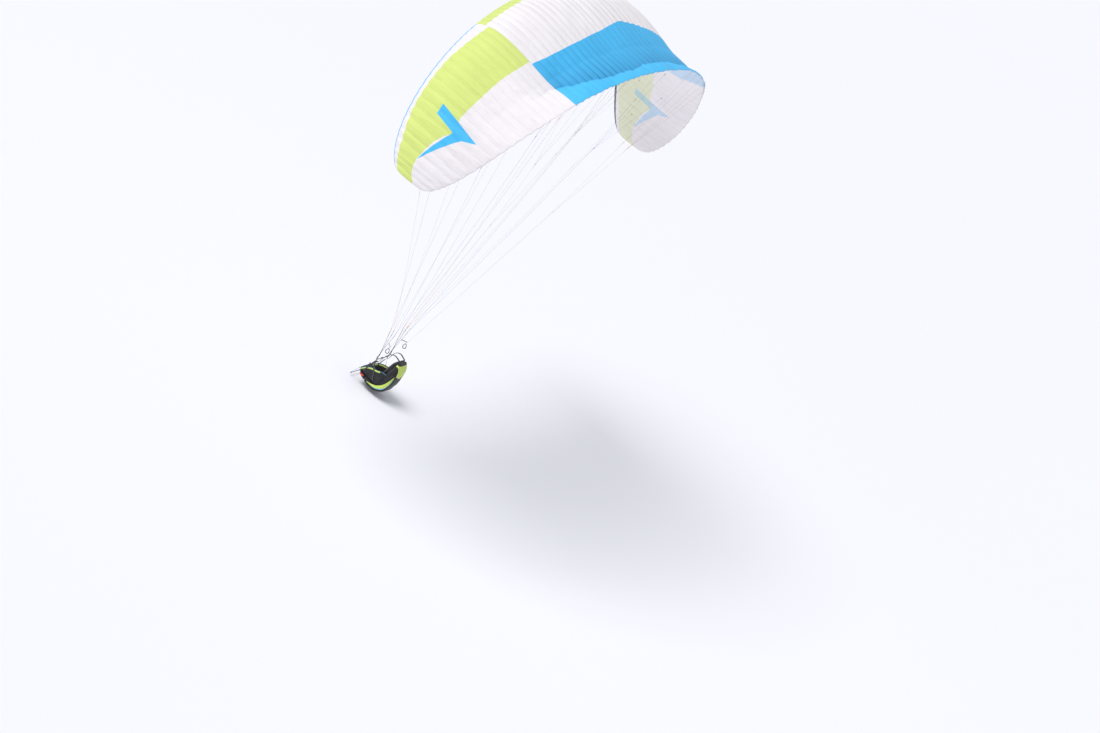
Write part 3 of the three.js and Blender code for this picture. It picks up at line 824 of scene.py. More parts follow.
@dataclass
class WingShape:
    """Where the canopy's two skins lie. s runs from 0 in the middle to 1 at the tip, f from nose to tail."""

    half_span: float = 5.8
    arc: float = math.radians(78)
    arc_power: float = 1.3
    root_chord: float = 2.65
    tip_chord: float = 0.45
    tip_sweep: float = 1.1
    chord_power: float = 2.2
    origin: float = 0.3
    crease: float = 0.72
    crease_soft: float = 0.012
    camber_start: float = 0.30
    crease_sag: float = 0.06
    tail_lift: float = 0.06
    fade: float = 0.8
    steps: int = 4000
    profile: tuple = (
        (0.00, 0.000, 0.000), (0.02, 0.035, -0.022), (0.06, 0.065, -0.030), (0.12, 0.095, -0.034),
        (0.22, 0.118, -0.036), (0.35, 0.115, -0.034), (0.50, 0.098, -0.030), (0.64, 0.073, -0.024),
        (0.72, 0.058, -0.019), (0.86, 0.030, -0.011), (1.00, 0.0012, -0.0012),
    )

    def __post_init__(self) -> None:
        """Adds up the arc once: y is the sum of cos and z minus the sum of sin of the turned angle."""
        t = np.linspace(0, 1, self.steps + 1)
        angle = self.arc * t**self.arc_power
        half = self.half_span / self.steps / 2
        self._t = t
        self._y = np.concatenate([[0], np.cumsum(np.cos(angle[1:]) + np.cos(angle[:-1]))]) * half
        self._z = -np.concatenate([[0], np.cumsum(np.sin(angle[1:]) + np.sin(angle[:-1]))]) * half

    def angle(self, s: Array) -> Array:
        """How far the surface has turned down at s."""
        return self.arc * np.abs(s) ** self.arc_power

    def rise(self, s: float) -> Array:
        """The direction up from the surface at s, on the left side."""
        angle = float(self.angle(s))
        return np.array([0.0, math.sin(angle), math.cos(angle)])

    def taper(self, s: Array) -> Array:
        """What is left of the middle's shape at s: (1 - s^2.2)^0.5."""
        return np.sqrt(np.clip(1 - np.abs(s) ** self.chord_power, 0, 1))

    def chord(self, s: Array) -> Array:
        """The chord at s: tip chord plus the rest times the taper."""
        return self.tip_chord + (self.root_chord - self.tip_chord) * self.taper(s)

    def nose(self, s: Array) -> Array:
        """Where the leading edge lies fore and aft at s."""
        return self.origin * self.root_chord - self.tip_sweep * (1 - self.taper(s))

    def height(self, f: Array, skin: Array) -> Array:
        """Height of the profile over the chord line, smooth in the root of f.

        Args:
            f: place on the chord.
            skin: +1 for the upper and -1 for the lower skin.

        Returns:
            The height as a share of the chord.
        """
        rows = np.array(self.profile)
        flat = np.asarray(f, float).ravel()
        both = hermite(np.sqrt(rows[:, 0]), rows[:, 1:], np.sqrt(flat))
        pick = np.where(np.broadcast_to(skin, np.shape(f)).ravel() > 0, both[:, 0], both[:, 1])
        return pick.reshape(np.shape(f))

    def camber(self, s: Array, f: Array) -> Array:
        """The tail's shape: it sinks by 60 mm up to the crease and rises by 60 mm above the chord after it.

        Args:
            s: place on the half span.
            f: place on the chord.

        Returns:
            The height in metres.
        """
        fade = np.clip(1 - (np.abs(s) / self.fade) ** 4, 0, None)
        before = ease(np.clip((f - self.camber_start) / (self.crease - self.camber_start), 0, 1))
        x, w = f - self.crease, self.crease_soft
        soft = np.where(x < -w, 0, np.where(x > w, x, (x + w) ** 2 / (4 * w)))
        after = soft / (1 - self.crease)
        return fade * (-self.crease_sag * before * (1 - after) + self.tail_lift * after)

    def points(self, s: Array, f: Array, skin: Array) -> Array:
        """Places of the skins at the ribs, with no bulge.

        x is the nose less f times the chord. The height goes out along the rib, which is turned by the
        arc's angle: y + h sin, z + h cos.

        Args:
            s: place on the half span, negative on the right.
            f: place on the chord.
            skin: +1 for the upper and -1 for the lower skin.

        Returns:
            Places, with one more axis of 3.
        """
        s, f, skin = np.broadcast_arrays(np.asarray(s, float), np.asarray(f, float), np.asarray(skin, float))
        a = np.abs(s)
        chord = self.chord(a)
        up = self.height(f, skin) * chord + self.camber(a, f)
        angle = self.angle(a)
        y = np.interp(a, self._t, self._y) + up * np.sin(angle)
        z = np.interp(a, self._t, self._z) + up * np.cos(angle)
        return np.stack([self.nose(a) - f * chord, np.where(s < 0, -y, y), z], -1)

    def rib_plane(self, s: float) -> tuple[Array, Array]:
        """The flat plane in which a rib lies.

        Args:
            s: place on the half span.

        Returns:
            A point of it and its normal, towards the tip.
        """
        a = abs(s)
        place = np.array([0.0, np.interp(a, self._t, self._y), np.interp(a, self._t, self._z)])
        _, out, up = self.rise(a)
        return place, np.array([0.0, up, -out])


@dataclass
class Pattern:
    """The dyed panels of the canopy, in s and f, as the photograph shows them."""

    corner: float = 0.4867
    band: float = 0.092
    tail: tuple = ((0.0, 0.50), (0.149, 0.552), (0.27, 0.572), (0.37, 0.574), (0.436, 0.568), (0.4867, 0.55))
    front: tuple = ((0.4867, 0.125), (0.559, 0.106), (0.61, 0.089), (0.656, 0.074), (0.73, 0.068),
                    (0.803, 0.069), (0.835, 0.078), (0.864, 0.094), (0.892, 0.11), (0.92, 0.128),
                    (0.973, 0.132), (1.0, 0.15))
    rear: tuple = ((0.4867, 0.53), (0.526, 0.524), (0.565, 0.516), (0.604, 0.51), (0.686, 0.514),
                   (0.767, 0.516), (0.812, 0.576), (0.833, 0.526), (0.862, 0.482), (0.887, 0.462),
                   (0.9115, 0.448), (0.9375, 0.434), (0.9565, 0.444), (0.9805, 0.50), (1.0, 0.68))
    chevron: tuple = (((4.454, 0.598), (4.640, 0.586), (4.736, 1.168), (4.594, 1.475)),
                      ((4.700, 1.010), (5.440, 0.545), (4.640, 1.270)))
    piping: float = 0.036

    def lime(self, shape: WingShape, s: Array, f: Array) -> Array:
        """Signed distance in metres to the lime panels, positive inside.

        Outboard of the corner the panel lies between the front and the rear line, inboard of it it is
        the band along the nose.

        Args:
            shape: the canopy's shape.
            s: place on the half span.
            f: place on the chord.

        Returns:
            The distance, negative outside.
        """
        a = np.abs(s)
        chord = shape.chord(a)
        f = np.abs(f)
        front = np.interp(a, *np.array(self.front).T)
        rear = np.interp(a, *np.array(self.rear).T)
        across = (a - self.corner) * shape.half_span
        outer = np.minimum(np.minimum((f - front) * chord, (rear - f) * chord), across)
        inner = np.minimum((self.band - f) * chord, -across)
        return np.maximum(outer, inner)

    def blue(self, shape: WingShape, s: Array, f: Array) -> Array:
        """Signed distance in metres to the blue panels: the tail between the corners, and a plain chevron.

        Each bar of the chevron is a convex shape with straight sides, so its distance is the least of
        the distances to its sides.

        Args:
            shape: the canopy's shape.
            s: place on the half span.
            f: place on the chord.

        Returns:
            The distance, negative outside.
        """
        a = np.abs(s)
        chord = shape.chord(a)
        start = np.interp(a, *np.array(self.tail).T)
        best = np.minimum((np.abs(f) - start) * chord, (self.corner - a) * shape.half_span)
        here = np.stack([a * shape.half_span, np.abs(f) * chord], -1)
        for bar in self.chevron:
            corners = np.array(bar)
            middle = corners.mean(0)
            inside = np.full(a.shape, 9.0)
            for p, q in zip(corners, np.roll(corners, -1, 0)):
                side = unit([p[1] - q[1], q[0] - p[0]])
                side = side if (middle - p) @ side > 0 else -side
                inside = np.minimum(inside, (here - p) @ side)
            best = np.maximum(best, inside)
        return best


@dataclass
class Canopy:
    """The canopy: two skins over 70 cells, ribs, open intakes, and a tail that the brakes bend."""

    finishes: Finishes
    shape: WingShape = field(default_factory=WingShape)
    pattern: Pattern = field(default_factory=Pattern)
    thick: float = 0.0008
    per_cell: int = 6
    rows_upper: int = 190
    rows_lower: int = 104
    intake: tuple[float, float] = (0.014, 0.055)
    flap: tuple[float, float] = (0.14, 0.62)
    flap_cells: int = 18
    middle_ribs: tuple = (0.0, 0.035, 0.07, 0.105)
    outer_ribs: tuple = (0.62, 0.6533, 0.6867, 0.72, 0.7533, 0.7867, 0.82, 0.855, 0.89, 0.9175, 0.945,
                         0.9625, 0.98, 1.0)
    hinge: tuple = ((-1.1245, 0.8070, -0.1442), (-1.0322, 3.2795, -1.1513))
    hinge_gap: float = 0.032
    bend_run: float = 0.45
    end_run: float = 0.50
    crease: tuple = ((0.0, 0.14, 0.22, 0.34, 0.43, 0.51, 0.60),
                     (0.880, 0.905, 0.915, 0.890, 0.835, 0.785, 0.76))
    crease_end: float = 0.60
    crease_fade: float = 0.12
    fold_dip: float = 0.020
    fold_run: float = 0.11
    fold_height: float = 0.072
    fold_slope: float = 0.50
    scallop: float = 0.016
    cloths: list = field(default_factory=list)

    def __post_init__(self) -> None:
        """Works out the whole half canopy once, so that every piece shares its edge points exactly."""
        low, high = self.flap
        inner = low + np.arange(self.flap_cells) * ((high - low) / self.flap_cells)
        self.ribs = np.concatenate([self.middle_ribs, inner, self.outer_ribs])
        self.cols = np.concatenate([np.linspace(a, b, self.per_cell, endpoint=False)
                                    for a, b in zip(self.ribs[:-1], self.ribs[1:])] + [[1.0]])
        upper = np.linspace(1, 0, self.rows_upper) ** 1.5
        lower = np.linspace(self.intake[1], 1, self.rows_lower)
        for rows in (upper, lower):
            rows[int(np.argmin(np.abs(rows - self.shape.crease)))] = self.shape.crease
        lip = np.array([0.0006, 0.002, 0.005, 0.009, self.intake[0]])
        self.f = np.concatenate([lower, upper, lip])
        self.skin = np.concatenate([-np.ones(len(lower)), np.ones(len(upper)), -np.ones(len(lip))])
        s, f = np.meshgrid(self.cols, self.f)
        skin = np.broadcast_to(self.skin[:, None], s.shape)
        self.base = self.shape.points(s, f, skin)
        self.place = self.base + self.outward(self.base) * self.swell(s, f, skin)[..., None]
        self.place[..., 0] += np.clip((f - 0.93) / 0.07, 0, 1) ** 2 * self.within(s) * self.scallop
        self.normal = self.outward(self.place)
        self.values = self.carried(s, f, skin)

    def carried(self, s: Array, f: Array, skin: Array) -> dict[str, Array]:
        """What the skins carry for their material: panels, piping, seams, hem, painted show-through and painted
        shade at the crease.

        Args:
            s: place on the half span.
            f: place on the chord.
            skin: +1 for the upper and -1 for the lower skin.

        Returns:
            The values by name.
        """
        width, chord = self.shape.half_span, self.shape.chord(s)
        lime, blue = self.pattern.lime(self.shape, s, f), self.pattern.blue(self.shape, s, f)
        behind = np.where(skin > 0, f, -f) * chord
        piping = np.minimum(self.pattern.piping - behind, 0.006 + behind)
        blue = np.maximum(blue, np.minimum(piping, (s - self.pattern.corner) * width))
        i = self.cell(s)
        gap = np.minimum(s - self.ribs[i], self.ribs[i + 1] - s) * width
        return {
            "cloth": np.stack([s * width, f * chord * skin], -1),
            "lime": np.clip(lime, -0.1, 0.1),
            "blue": np.clip(blue, -0.1, 0.1),
            # the lower skin shows the panels faintly: painted show-through of light through the upper skin
            "under": np.where((skin < 0) & (f > 0.03), 1.0, 0.0),
            "seam": np.clip(1 - gap / 0.024, 0, 1),
            "hem": np.clip((f - 0.9925) / 0.003, 0, 1),
            # painted shade at the crease and in streaks at the seams, on the upper skin only
            "fold": self.shade(s, f) * (skin > 0),
        }

    def outward(self, places: Array) -> Array:
        """Unit normals of the half canopy's grid, turned so that the upper skin's point up."""
        n = grid_normals(places)
        return n if n[len(self.f) // 2, 0, 2] > 0 else -n

    def cell(self, s: Array) -> Array:
        """Number of the cell that s lies in, from the middle."""
        return np.clip(np.searchsorted(self.ribs, s, side="right") - 1, 0, len(self.ribs) - 2)

    def within(self, s: Array) -> Array:
        """How far into its cell a place is, 4u(1 - u).

        Args:
            s: place on the half span.

        Returns:
            0 at each rib and 1 halfway between two of them.
        """
        i = self.cell(s)
        u = (s - self.ribs[i]) / (self.ribs[i + 1] - self.ribs[i])
        return 4 * u * (1 - u)

    def behind_crease(self, a: Array, f: Array) -> Array:
        """Distance in metres behind the crease that the brakes have left, a wavy line across the cells."""
        wave = 0.006 * np.sin(a * 47 + 0.6) + 0.003 * np.sin(a * 121)
        return (f - np.interp(a, *self.crease) - wave) * self.shape.chord(a)

    def crease_share(self, a: Array) -> Array:
        """1 where the tail is creased, and down to 0 at the crease's outer end."""
        return np.clip((self.crease_end - a) / self.crease_fade, 0, 1)

    def shade(self, s: Array, f: Array) -> Array:
        """Painted shade where the cloth gathers into the crease: a narrow band at the crease, broken up from
        cell to cell, a broad fade ahead of it and dark streaks at the seams.

        Args:
            s: place on the half span.
            f: place on the chord.

        Returns:
            The shade's strength, from 0 to 1.2.
        """
        a = np.abs(s)
        d = self.behind_crease(a, f)
        near, far = np.exp(np.minimum(d, 0) / 0.05), np.exp(np.minimum(d, 0) / 0.6)
        streak = (1 - self.within(a)) ** 3 * (0.35 + 0.65 * np.sin(self.cell(a) * 2.9 + 0.7) ** 2)
        uneven = 0.65 + 0.35 * np.sin(a * 61.0 + 1.0) * np.sin(a * 23.0)
        ahead = np.maximum(near * uneven, 0.55 * far) + 0.75 * streak * far
        band = np.where(d < 0, ahead, 0.8 * np.exp(-((d / 0.012) ** 2)))
        return np.clip(band, 0, 1.2) * self.crease_share(a)

    def swell(self, s: Array, f: Array, skin: Array) -> Array:
        """How far the cloth stands out from the ribs' line.

        Each cell swells as 4u(1 - u) times a share of its width, most at the front and least at the
        tail. Near the ribs the tight seam gathers it into ripples, (d/w) exp(1 - d/w) times a sine
        along the chord, and the crease draws each cell in a little.

        Args:
            s: place on the half span.
            f: place on the chord.
            skin: +1 for the upper and -1 for the lower skin.

        Returns:
            The distance in metres.
        """
        a = np.abs(s)
        width = self.shape.half_span
        i = self.cell(a)
        cell = (self.ribs[i + 1] - self.ribs[i]) * width
        upper = skin > 0
        depth = np.where(upper, 0.130 - 0.055 * f**1.5, 0.070 - 0.04 * f)
        tail = np.clip((1 - f) / 0.06, 0, 1) ** 0.5
        nose = 0.22 + 0.78 * ease(np.clip(f / 0.11, 0, 1))
        out = self.within(a) * cell * depth * tail * nose
        gap = np.minimum(a - self.ribs[i], self.ribs[i + 1] - a) * width
        ripple = (gap / 0.034) * np.exp(1 - gap / 0.034)
        turn = f * self.shape.chord(a) * 2 * math.pi
        phase = i * 2.399
        wave = (0.5 * np.sin(turn / 0.26 + phase) + 0.2 * np.sin(turn / 0.13 + 1.7 * phase)
                + 0.9 * np.sin(turn / 0.71 + 2.3 * phase))
        rear = np.clip((f - 0.25) / 0.35, 0, 1) * np.clip((1 - f) / 0.05, 0, 1)
        strength = 0.0006 + np.where(upper, 0.0014, 0.0010) * rear
        out = out + ripple * wave * strength * np.clip(f / 0.08, 0, 1)
        fade = np.clip(1 - (a / self.flap[1]) ** 6, 0, 1)
        pinch = np.exp(-(((f - self.shape.crease) / 0.018) ** 2)) * fade * self.within(a)
        jag = 0.5 + 0.5 * np.sin(i * 2.9 + 0.7)
        out = out - np.where(upper, 0.45, 0.15) * pinch * cell * depth * jag
        return out + np.where(upper, 1.0, -1.0) * self.fold(a, f)

    def fold(self, a: Array, f: Array) -> Array:
        """How far the tail is bent up at a place, where the brakes have creased it.

        The crease runs aft from the flap's outer end towards the middle. Ahead of it the cloth sinks as
        -A exp(d / L), d being the distance behind the crease, and behind it the tail flares up as
        -A + H tanh(k d / H). A short blend of the two keeps the kink from being a knife edge.

        Args:
            a: place on the half span, without its sign.
            f: place on the chord.

        Returns:
            The height in metres.
        """
        d = self.behind_crease(a, f)
        ahead = -self.fold_dip * np.exp(np.minimum(d, 0) / self.fold_run)
        rise = self.fold_slope * (0.9 + 0.25 * np.sin(a * 31 + 2.0) + 0.12 * np.sin(a * 97))
        flare = self.fold_height * np.tanh(rise * np.maximum(d, 0) / self.fold_height)
        size = self.crease_share(a) ** 1.5 * (0.85 + 0.15 * np.sin(a * 73 + 1.2))
        return size * (ahead + flare * ease(np.clip(0.5 + d / 0.02, 0, 1)))

    def skin_at(self, s: float, f: float) -> Array:
        """A place on the finished lower skin, on the left side."""
        spot, along, low = np.array([s]), np.array([f]), -np.ones(1)
        return self.shape.points(spot, along, low)[0] - self.swell(spot, along, low)[0] * self.shape.rise(s)

    def crease_rows(self) -> list[int]:
        """The row of the lower skin and the row of the upper skin that lie at the shape's crease."""
        return np.nonzero(self.f == self.shape.crease)[0].tolist()

    def cut(self, surface: Surface, rows: slice, low: float, high: float, sides: tuple[Side, ...]) -> float:
        """Adds a stretch of the canopy to a mesh.

        Args:
            surface: the mesh being made.
            rows: rows of the grid.
            low: first place on the half span.
            high: last place on the half span.
            sides: one side, or both for a piece that crosses the middle.

        Returns:
            The flat area of the cloth in square metres, without its swelling.
        """
        keep = np.nonzero((self.cols >= low - 1e-9) & (self.cols <= high + 1e-9))[0]
        cols = slice(int(keep[0]), int(keep[-1]) + 1)
        grids = [grid[rows, cols] for grid in (self.place, self.normal, self.base)]
        values = {key: v[rows, cols] for key, v in self.values.items()}
        mirror = Side.RIGHT.mirror
        if len(sides) == 2:
            grids = [np.concatenate([(v * mirror)[:, :0:-1], v], 1) for v in grids]
            values = {key: np.concatenate([v[:, :0:-1], v], 1) for key, v in values.items()}
            grids[1][:, grids[1].shape[1] // 2, 1] = 0
        elif sides[0] is Side.RIGHT:
            grids = [(v * mirror)[:, ::-1] for v in grids]
            values = {key: v[:, ::-1] for key, v in values.items()}
        place, normal, base = grids
        surface.cloth(place, normal, self.thick, **values)
        step_a, step_b = np.diff(base, axis=0)[:, :-1], np.diff(base, axis=1)[:-1]
        return float(np.linalg.norm(np.cross(step_a, step_b), axis=-1).sum())

    def rib_panel(self, surface: Surface, s: float, tail: float) -> None:
        """Adds one rib: a flat panel of cloth between the skins, from behind the intake to the tail.

        Args:
            surface: the mesh being made.
            s: where it stands, negative on the right.
            tail: the last chord fraction.
        """
        f = np.concatenate([[0.016, 0.022, 0.03, 0.04, 0.05], np.linspace(0.065, tail, 40)])
        spot = np.full(f.shape, s)
        top, low = (self.shape.points(spot, f, skin * np.ones(f.shape)) for skin in (1, -1))
        side = (Side.LEFT if s >= 0 else Side.RIGHT).mirror
        bent = self.fold(np.abs(spot), f)[:, None] * self.shape.rise(abs(s)) * side
        inset = np.clip(0.0035 / np.linalg.norm(top - low, axis=1), 0, 0.45)[:, None]
        grid = np.stack([bent + top * (1 - w) + low * w for w in (inset, 0.5 + 0 * inset, 1 - inset)])
        normal = self.shape.rib_plane(abs(s))[1] * side
        surface.cloth(grid + normal * self.thick / 2, np.broadcast_to(normal, grid.shape), self.thick)

    def build(self) -> None:
        """Builds the skins, ribs and closed tip cells of both sides, and the tails that the brakes bend."""
        low, high = self.flap
        first, last = self.crease_rows()
        whole, below, above = slice(0, len(self.f)), slice(0, first + 1), slice(last, len(self.f))
        self.skin_piece("centre", "canopy_white", [whole], 0.0, low, tuple(Side), "canopy_centre")
        for side in Side:
            start = f"canopy_{side.value}_"
            self.skin_piece(f"{side.value}_fore", "canopy_white", [below, above], low, high, (side,),
                            start + "inner", start + "mid")
            self.skin_piece(f"{side.value}_outer", "canopy_lime", [whole], high, 1.0, (side,),
                            start + "outer", start + "tip")
            self.tail(side)
        self.inside()

    def skin_piece(self, name: str, slot: str, parts: list[slice], low: float, high: float,
                   sides: tuple[Side, ...], *nodes: str) -> None:
        """Builds one piece of the skins, and notes it as cloth held stretched by the lines and the air.

        Args:
            name: the piece's name, without canopy_ and _skin.
            slot: the material slot of the record.
            parts: rows of the grid, once for each stretch of the section.
            low: first place on the half span.
            high: last place on the half span.
            sides: one side, or both for a piece that crosses the middle.
            nodes: the nodes that it replaces.
        """
        surface = Surface()
        area = sum(self.cut(surface, rows, low, high, sides) for rows in parts)
        piece = surface.deliver(f"canopy_{name}_skin", self.finishes.canopy, "wing", slot, *nodes)
        width = len(sides) * (high - low) * self.shape.half_span
        rests = [f"lines_{side.value}_{row}_set" for side in sides for row in "abc"]
        self.note_cloth(piece, width, area, rests)

    def note_cloth(self, piece: bpy.types.Object, width: float, area: float, rests: list[str]) -> None:
        """Notes a piece of cloth: its width, its length with 2% for hems, its flat area and what holds it."""
        self.cloths.append((piece, (width, area / width * 1.02), area, rests))

    def declare_all(self) -> None:
        """Runs through every noted piece of cloth and what holds it, and hands nothing on."""
        for piece, flat, area, rests in self.cloths:
            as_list(rests)

    def ramps(self) -> dict[str, tuple[Array, Array]]:
        """Where each piece of the left tail starts to bend and where it has bent fully.

        The middle piece bends behind the hinge line, and each end piece bends away from the rib that
        stays still.

        Returns:
            The two places by the piece's name.
        """
        a, b = (np.array(p) for p in self.hinge)
        along = unit(b - a)
        aft = np.array([-1.0, 0, 0])
        aft = unit(aft - along * (aft @ along))
        start = (a + b) / 2 + aft * self.hinge_gap
        (inner, out), (outer, also_out) = (self.shape.rib_plane(s) for s in self.flap)
        return {"middle": (start, start + aft * self.bend_run), "inner": (inner, inner + out * self.end_run),
                "outer": (outer, outer - also_out * self.end_run)}

    def tail(self, side: Side) -> None:
        """Builds one side's braked tail as three pieces.

        They meet in the planes where the bends of both are equal, so the cloth stays whole. A ramp
        from p to q is (x - p)(q - p) / |q - p|^2, so such a plane is where two of them are the same.

        Args:
            side: the side.
        """
        surface = Surface()
        first, last = self.crease_rows()
        self.cut(surface, slice(first, last + 1), *self.flap, (side,))
        whole = surface.build(f"tail_{side.value}_whole", self.finishes.canopy)
        ramps = {key: (p * side.mirror, q * side.mirror) for key, (p, q) in self.ramps().items()}
        slopes = {key: (q - p) / ((q - p) @ (q - p)) for key, (p, q) in ramps.items()}
        for key, others, wide in (("middle", ("inner", "outer"), 2.3), ("inner", ("middle",), 0.8),
                                  ("outer", ("middle",), 0.8)):
            mesh = whole.data.copy()
            shell = bmesh.new()
            shell.from_mesh(mesh)
            for other in others:
                normal = slopes[key] - slopes[other]
                offset = slopes[other] @ ramps[other][0] - slopes[key] @ ramps[key][0]
                size = float(np.linalg.norm(normal))
                cut = bmesh.ops.bisect_plane(
                    shell, geom=shell.verts[:] + shell.edges[:] + shell.faces[:], dist=1e-7,
                    plane_co=tuple(-normal * offset / size**2), plane_no=tuple(normal / size), clear_outer=True)
                edges = [e for e in cut["geom_cut"] if isinstance(e, bmesh.types.BMEdge) and e.is_boundary]
                if edges:
                    bmesh.ops.edgeloop_fill(shell, edges=edges)
            shell.to_mesh(mesh)
            shell.free()
            mesh.name = f"tail_{side.value}_{key}"
            piece = bpy.data.objects.new(mesh.name, mesh)
            bpy.context.scene.collection.objects.link(piece)
            bend(piece, f"{side.value}_flap", *ramps[key], "canopy_blue", f"flap_{side.value}")
            area = sum(face.area for face in mesh.polygons) / 2
            self.note_cloth(piece, wide, area, [f"brake_{side.value}_line_set"])
        bpy.data.objects.remove(whole, do_unlink=True)

    def inside(self) -> None:
        """Builds the ribs that show through the intakes, and closes the outermost cell's intake."""
        ribs = Surface()
        low, high = self.flap
        for s in self.ribs[:-1]:
            tail = self.shape.crease - 0.01 if low <= s <= high else 0.93
            for sign in ((1,) if s == 0 else (1, -1)):
                self.rib_panel(ribs, sign * float(s), tail)
        ribs.deliver("canopy_ribs", self.finishes.canopy, "wing", "canopy_white", outward=False)
        last = Surface()
        cols = self.cols[self.cols >= self.ribs[-2] - 1e-9]
        for side in Side:
            s, f = np.meshgrid(cols, np.linspace(*self.intake, 5))
            grid = self.shape.points(s, f, -np.ones(s.shape)) * side.mirror
            normal = grid_normals(grid)
            last.cloth(grid, normal if normal[0, 0, 2] < 0 else -normal, self.thick)
        last.deliver("canopy_tip_closures", self.finishes.canopy, "wing", "canopy_white", outward=False)


# Lines, risers and brakes


@dataclass
class Rigging:
    """Lines from the risers to the canopy, the risers, their links, and the brakes."""

    finishes: Finishes
    canopy: Canopy
    pivot: tuple[float, float] = (-0.2, 0.23)
    top_z: float = -7.95
    riser: float = 0.53
    split: float = 0.72
    main_radius: float = 0.0014
    upper_radius: float = 0.0010
    rows: tuple = (("a", 0.09, 0.062), ("b", 0.35, 0.0), ("c", 0.64, -0.062))
    colours: tuple[str, ...] = ("line_red", "line_yellow", "line_blue")
    mains: tuple = ((0.07, 0.22, 0.30), (0.46, 0.54, 0.72))
    tips: tuple = (0.82, 0.89)
    splice: float = 0.08
    flap_ribs: int = 6
    brake_ribs: tuple = ((1, 2), (3, 4, 5))
    brake_at: float = 0.985

    def riser_top(self, offset: float) -> Array:
        """Top of the riser's leg for a row, on the left side."""
        return np.array([self.pivot[0] + offset, self.pivot[1] + 0.022, self.top_z + self.riser])

    def anchor(self, s: float, f: float, drop: float) -> Array:
        """Where a line meets the lower skin: drop below it, at right angles to the span."""
        return self.canopy.skin_at(s, f) - drop * self.canopy.shape.rise(s)

    def line(self, surface: Surface, a: Array, b: Array, radius: float, bow: float = 0.0) -> None:
        """Adds one line with a sewn splice at each end, where it is a little thicker.

        Taut lines bow aft in the air stream by a parabola, 4u(1 - u) times the bow.

        Args:
            surface: the mesh being made.
            a: its lower end.
            b: its upper end.
            radius: its radius.
            bow: how far its middle bows aft.
        """
        long = float(np.linalg.norm(b - a))
        spots = np.array([0, 0.02, self.splice, self.splice + 0.003])
        middle = np.linspace(0.1, long - 0.1, max(3, int(long / 0.6)) + 1)
        t = np.concatenate([spots, middle, (long - spots)[::-1]])
        u = (t / long)[:, None]
        path = a * (1 - u) + b * u
        path[:, :1] -= 4 * u * (1 - u) * bow
        thicker = np.minimum(t, long - t) < self.splice + 0.001
        surface.tube(path, radius * (1 + 0.55 * thicker), 6)

    def build(self) -> None:
        """Builds both sides' line trees, risers and links."""
        for side in Side:
            for row, colour in zip(self.rows, self.colours):
                self.line_tree(side, *row, colour)
            self.riser_set(side)
            self.brakes(side)

    def line_tree(self, side: Side, name: str, f: float, offset: float, colour: str) -> None:
        """Builds one row's lines: mains from the link to their forks, and the upper lines to sewn tabs.

        Args:
            side: the side.
            name: the row's letter.
            f: where on the chord it holds the canopy.
            offset: how far ahead of the riser's middle its leg ends.
            colour: the name of its finish, and of its material slot.
        """
        surface = Surface(side.mirror)
        bottom = self.riser_top(offset) + [0, 0, 0.034]
        for stations in (*self.mains, self.tips) if name == "b" else self.mains:
            ends = [self.anchor(s, f, 0.004) for s in stations]
            knot = bottom + (np.mean(ends, 0) - bottom) * self.split
            self.line(surface, bottom - [0, 0, 0.006], knot, self.main_radius, 0.03)
            for s, end in zip(stations, ends):
                self.line(surface, knot, end, self.upper_radius, 0.008)
                tab = np.linspace(end + unit(knot - end) * 0.02, self.anchor(s, f, -0.001), 5)
                surface.strap(tab, (1, 0, 0), 0.012, 0.0016)
        surface.deliver(f"lines_{side.value}_{name}_set", getattr(self.finishes, colour), "wing", colour,
                        f"lines_{side.value}_{name}")

    def riser_set(self, side: Side) -> None:
        """Builds one riser: a loop round the carabiner, three legs sewn into it, and a link on each leg.

        Args:
            side: the side.
        """
        webbing = Surface(side.mirror)
        foot = np.array([*self.pivot, self.top_z])
        webbing.strap(foot + 0.0093 * hoop() * [1, 1, -1], Y_AXIS, 0.022, 0.0052)
        seam = foot + [0, 0, 0.060]
        block = np.linspace(foot + [0, 0, 0.0085], seam + [0, 0, 0.012], 14)
        for shift in (-0.0031, 0.0, 0.0031):
            webbing.strap(block + [shift, 0, 0], Y_AXIS, 0.022, 0.0030)
        for name, _, offset in self.rows:
            top = self.riser_top(offset)
            start = seam + [offset / 30, 0, -0.004]
            webbing.strap(np.linspace(start, top, 30), Y_AXIS, 0.0135, 0.0026)
            back = np.linspace(top + (start - top) * 0.16, top, 12) - [0.0022, 0, 0]
            webbing.strap(back, Y_AXIS, 0.0135, 0.0022)
            eye = np.linspace(-0.3, math.pi + 0.3, 14)
            loop = np.stack([0.0042 * np.cos(eye) - 0.001, 0 * eye, 0.0052 * np.sin(eye) + 0.0005], -1)
            webbing.strap(top + loop, Y_AXIS, 0.0125, 0.0016)
            self.link(side, name, top + [0, 0, 0.0156])
        webbing.deliver(f"riser_{side.value}_webbing", self.finishes.webbing, "wing", "webbing",
                        f"riser_{side.value}")

    def link(self, side: Side, name: str, centre: Array) -> None:
        """Builds the steel link of one row: an oval of round bar, and a six-sided nut on its opening.

        Args:
            side: the side.
            name: the row's letter.
            centre: the link's middle, on the left side.
        """
        link = Surface(side.mirror)
        u = circle(48)
        link.ring(centre + np.stack([0.00675 * np.cos(u), 0 * u, 0.01215 * np.sin(u)], -1), 0.0019, 12)
        nut = [[-0.0045, 0.0026], [-0.0040, 0.0033], [0.0040, 0.0033], [0.0045, 0.0026]]
        link.lathe(centre + [0.0067, 0, 0], Z_AXIS, nut, 6)
        link.deliver(f"link_{side.value}_{name}_ring", self.finishes.steel, "wing", "stainless",
                     f"link_{side.value}_{name}")

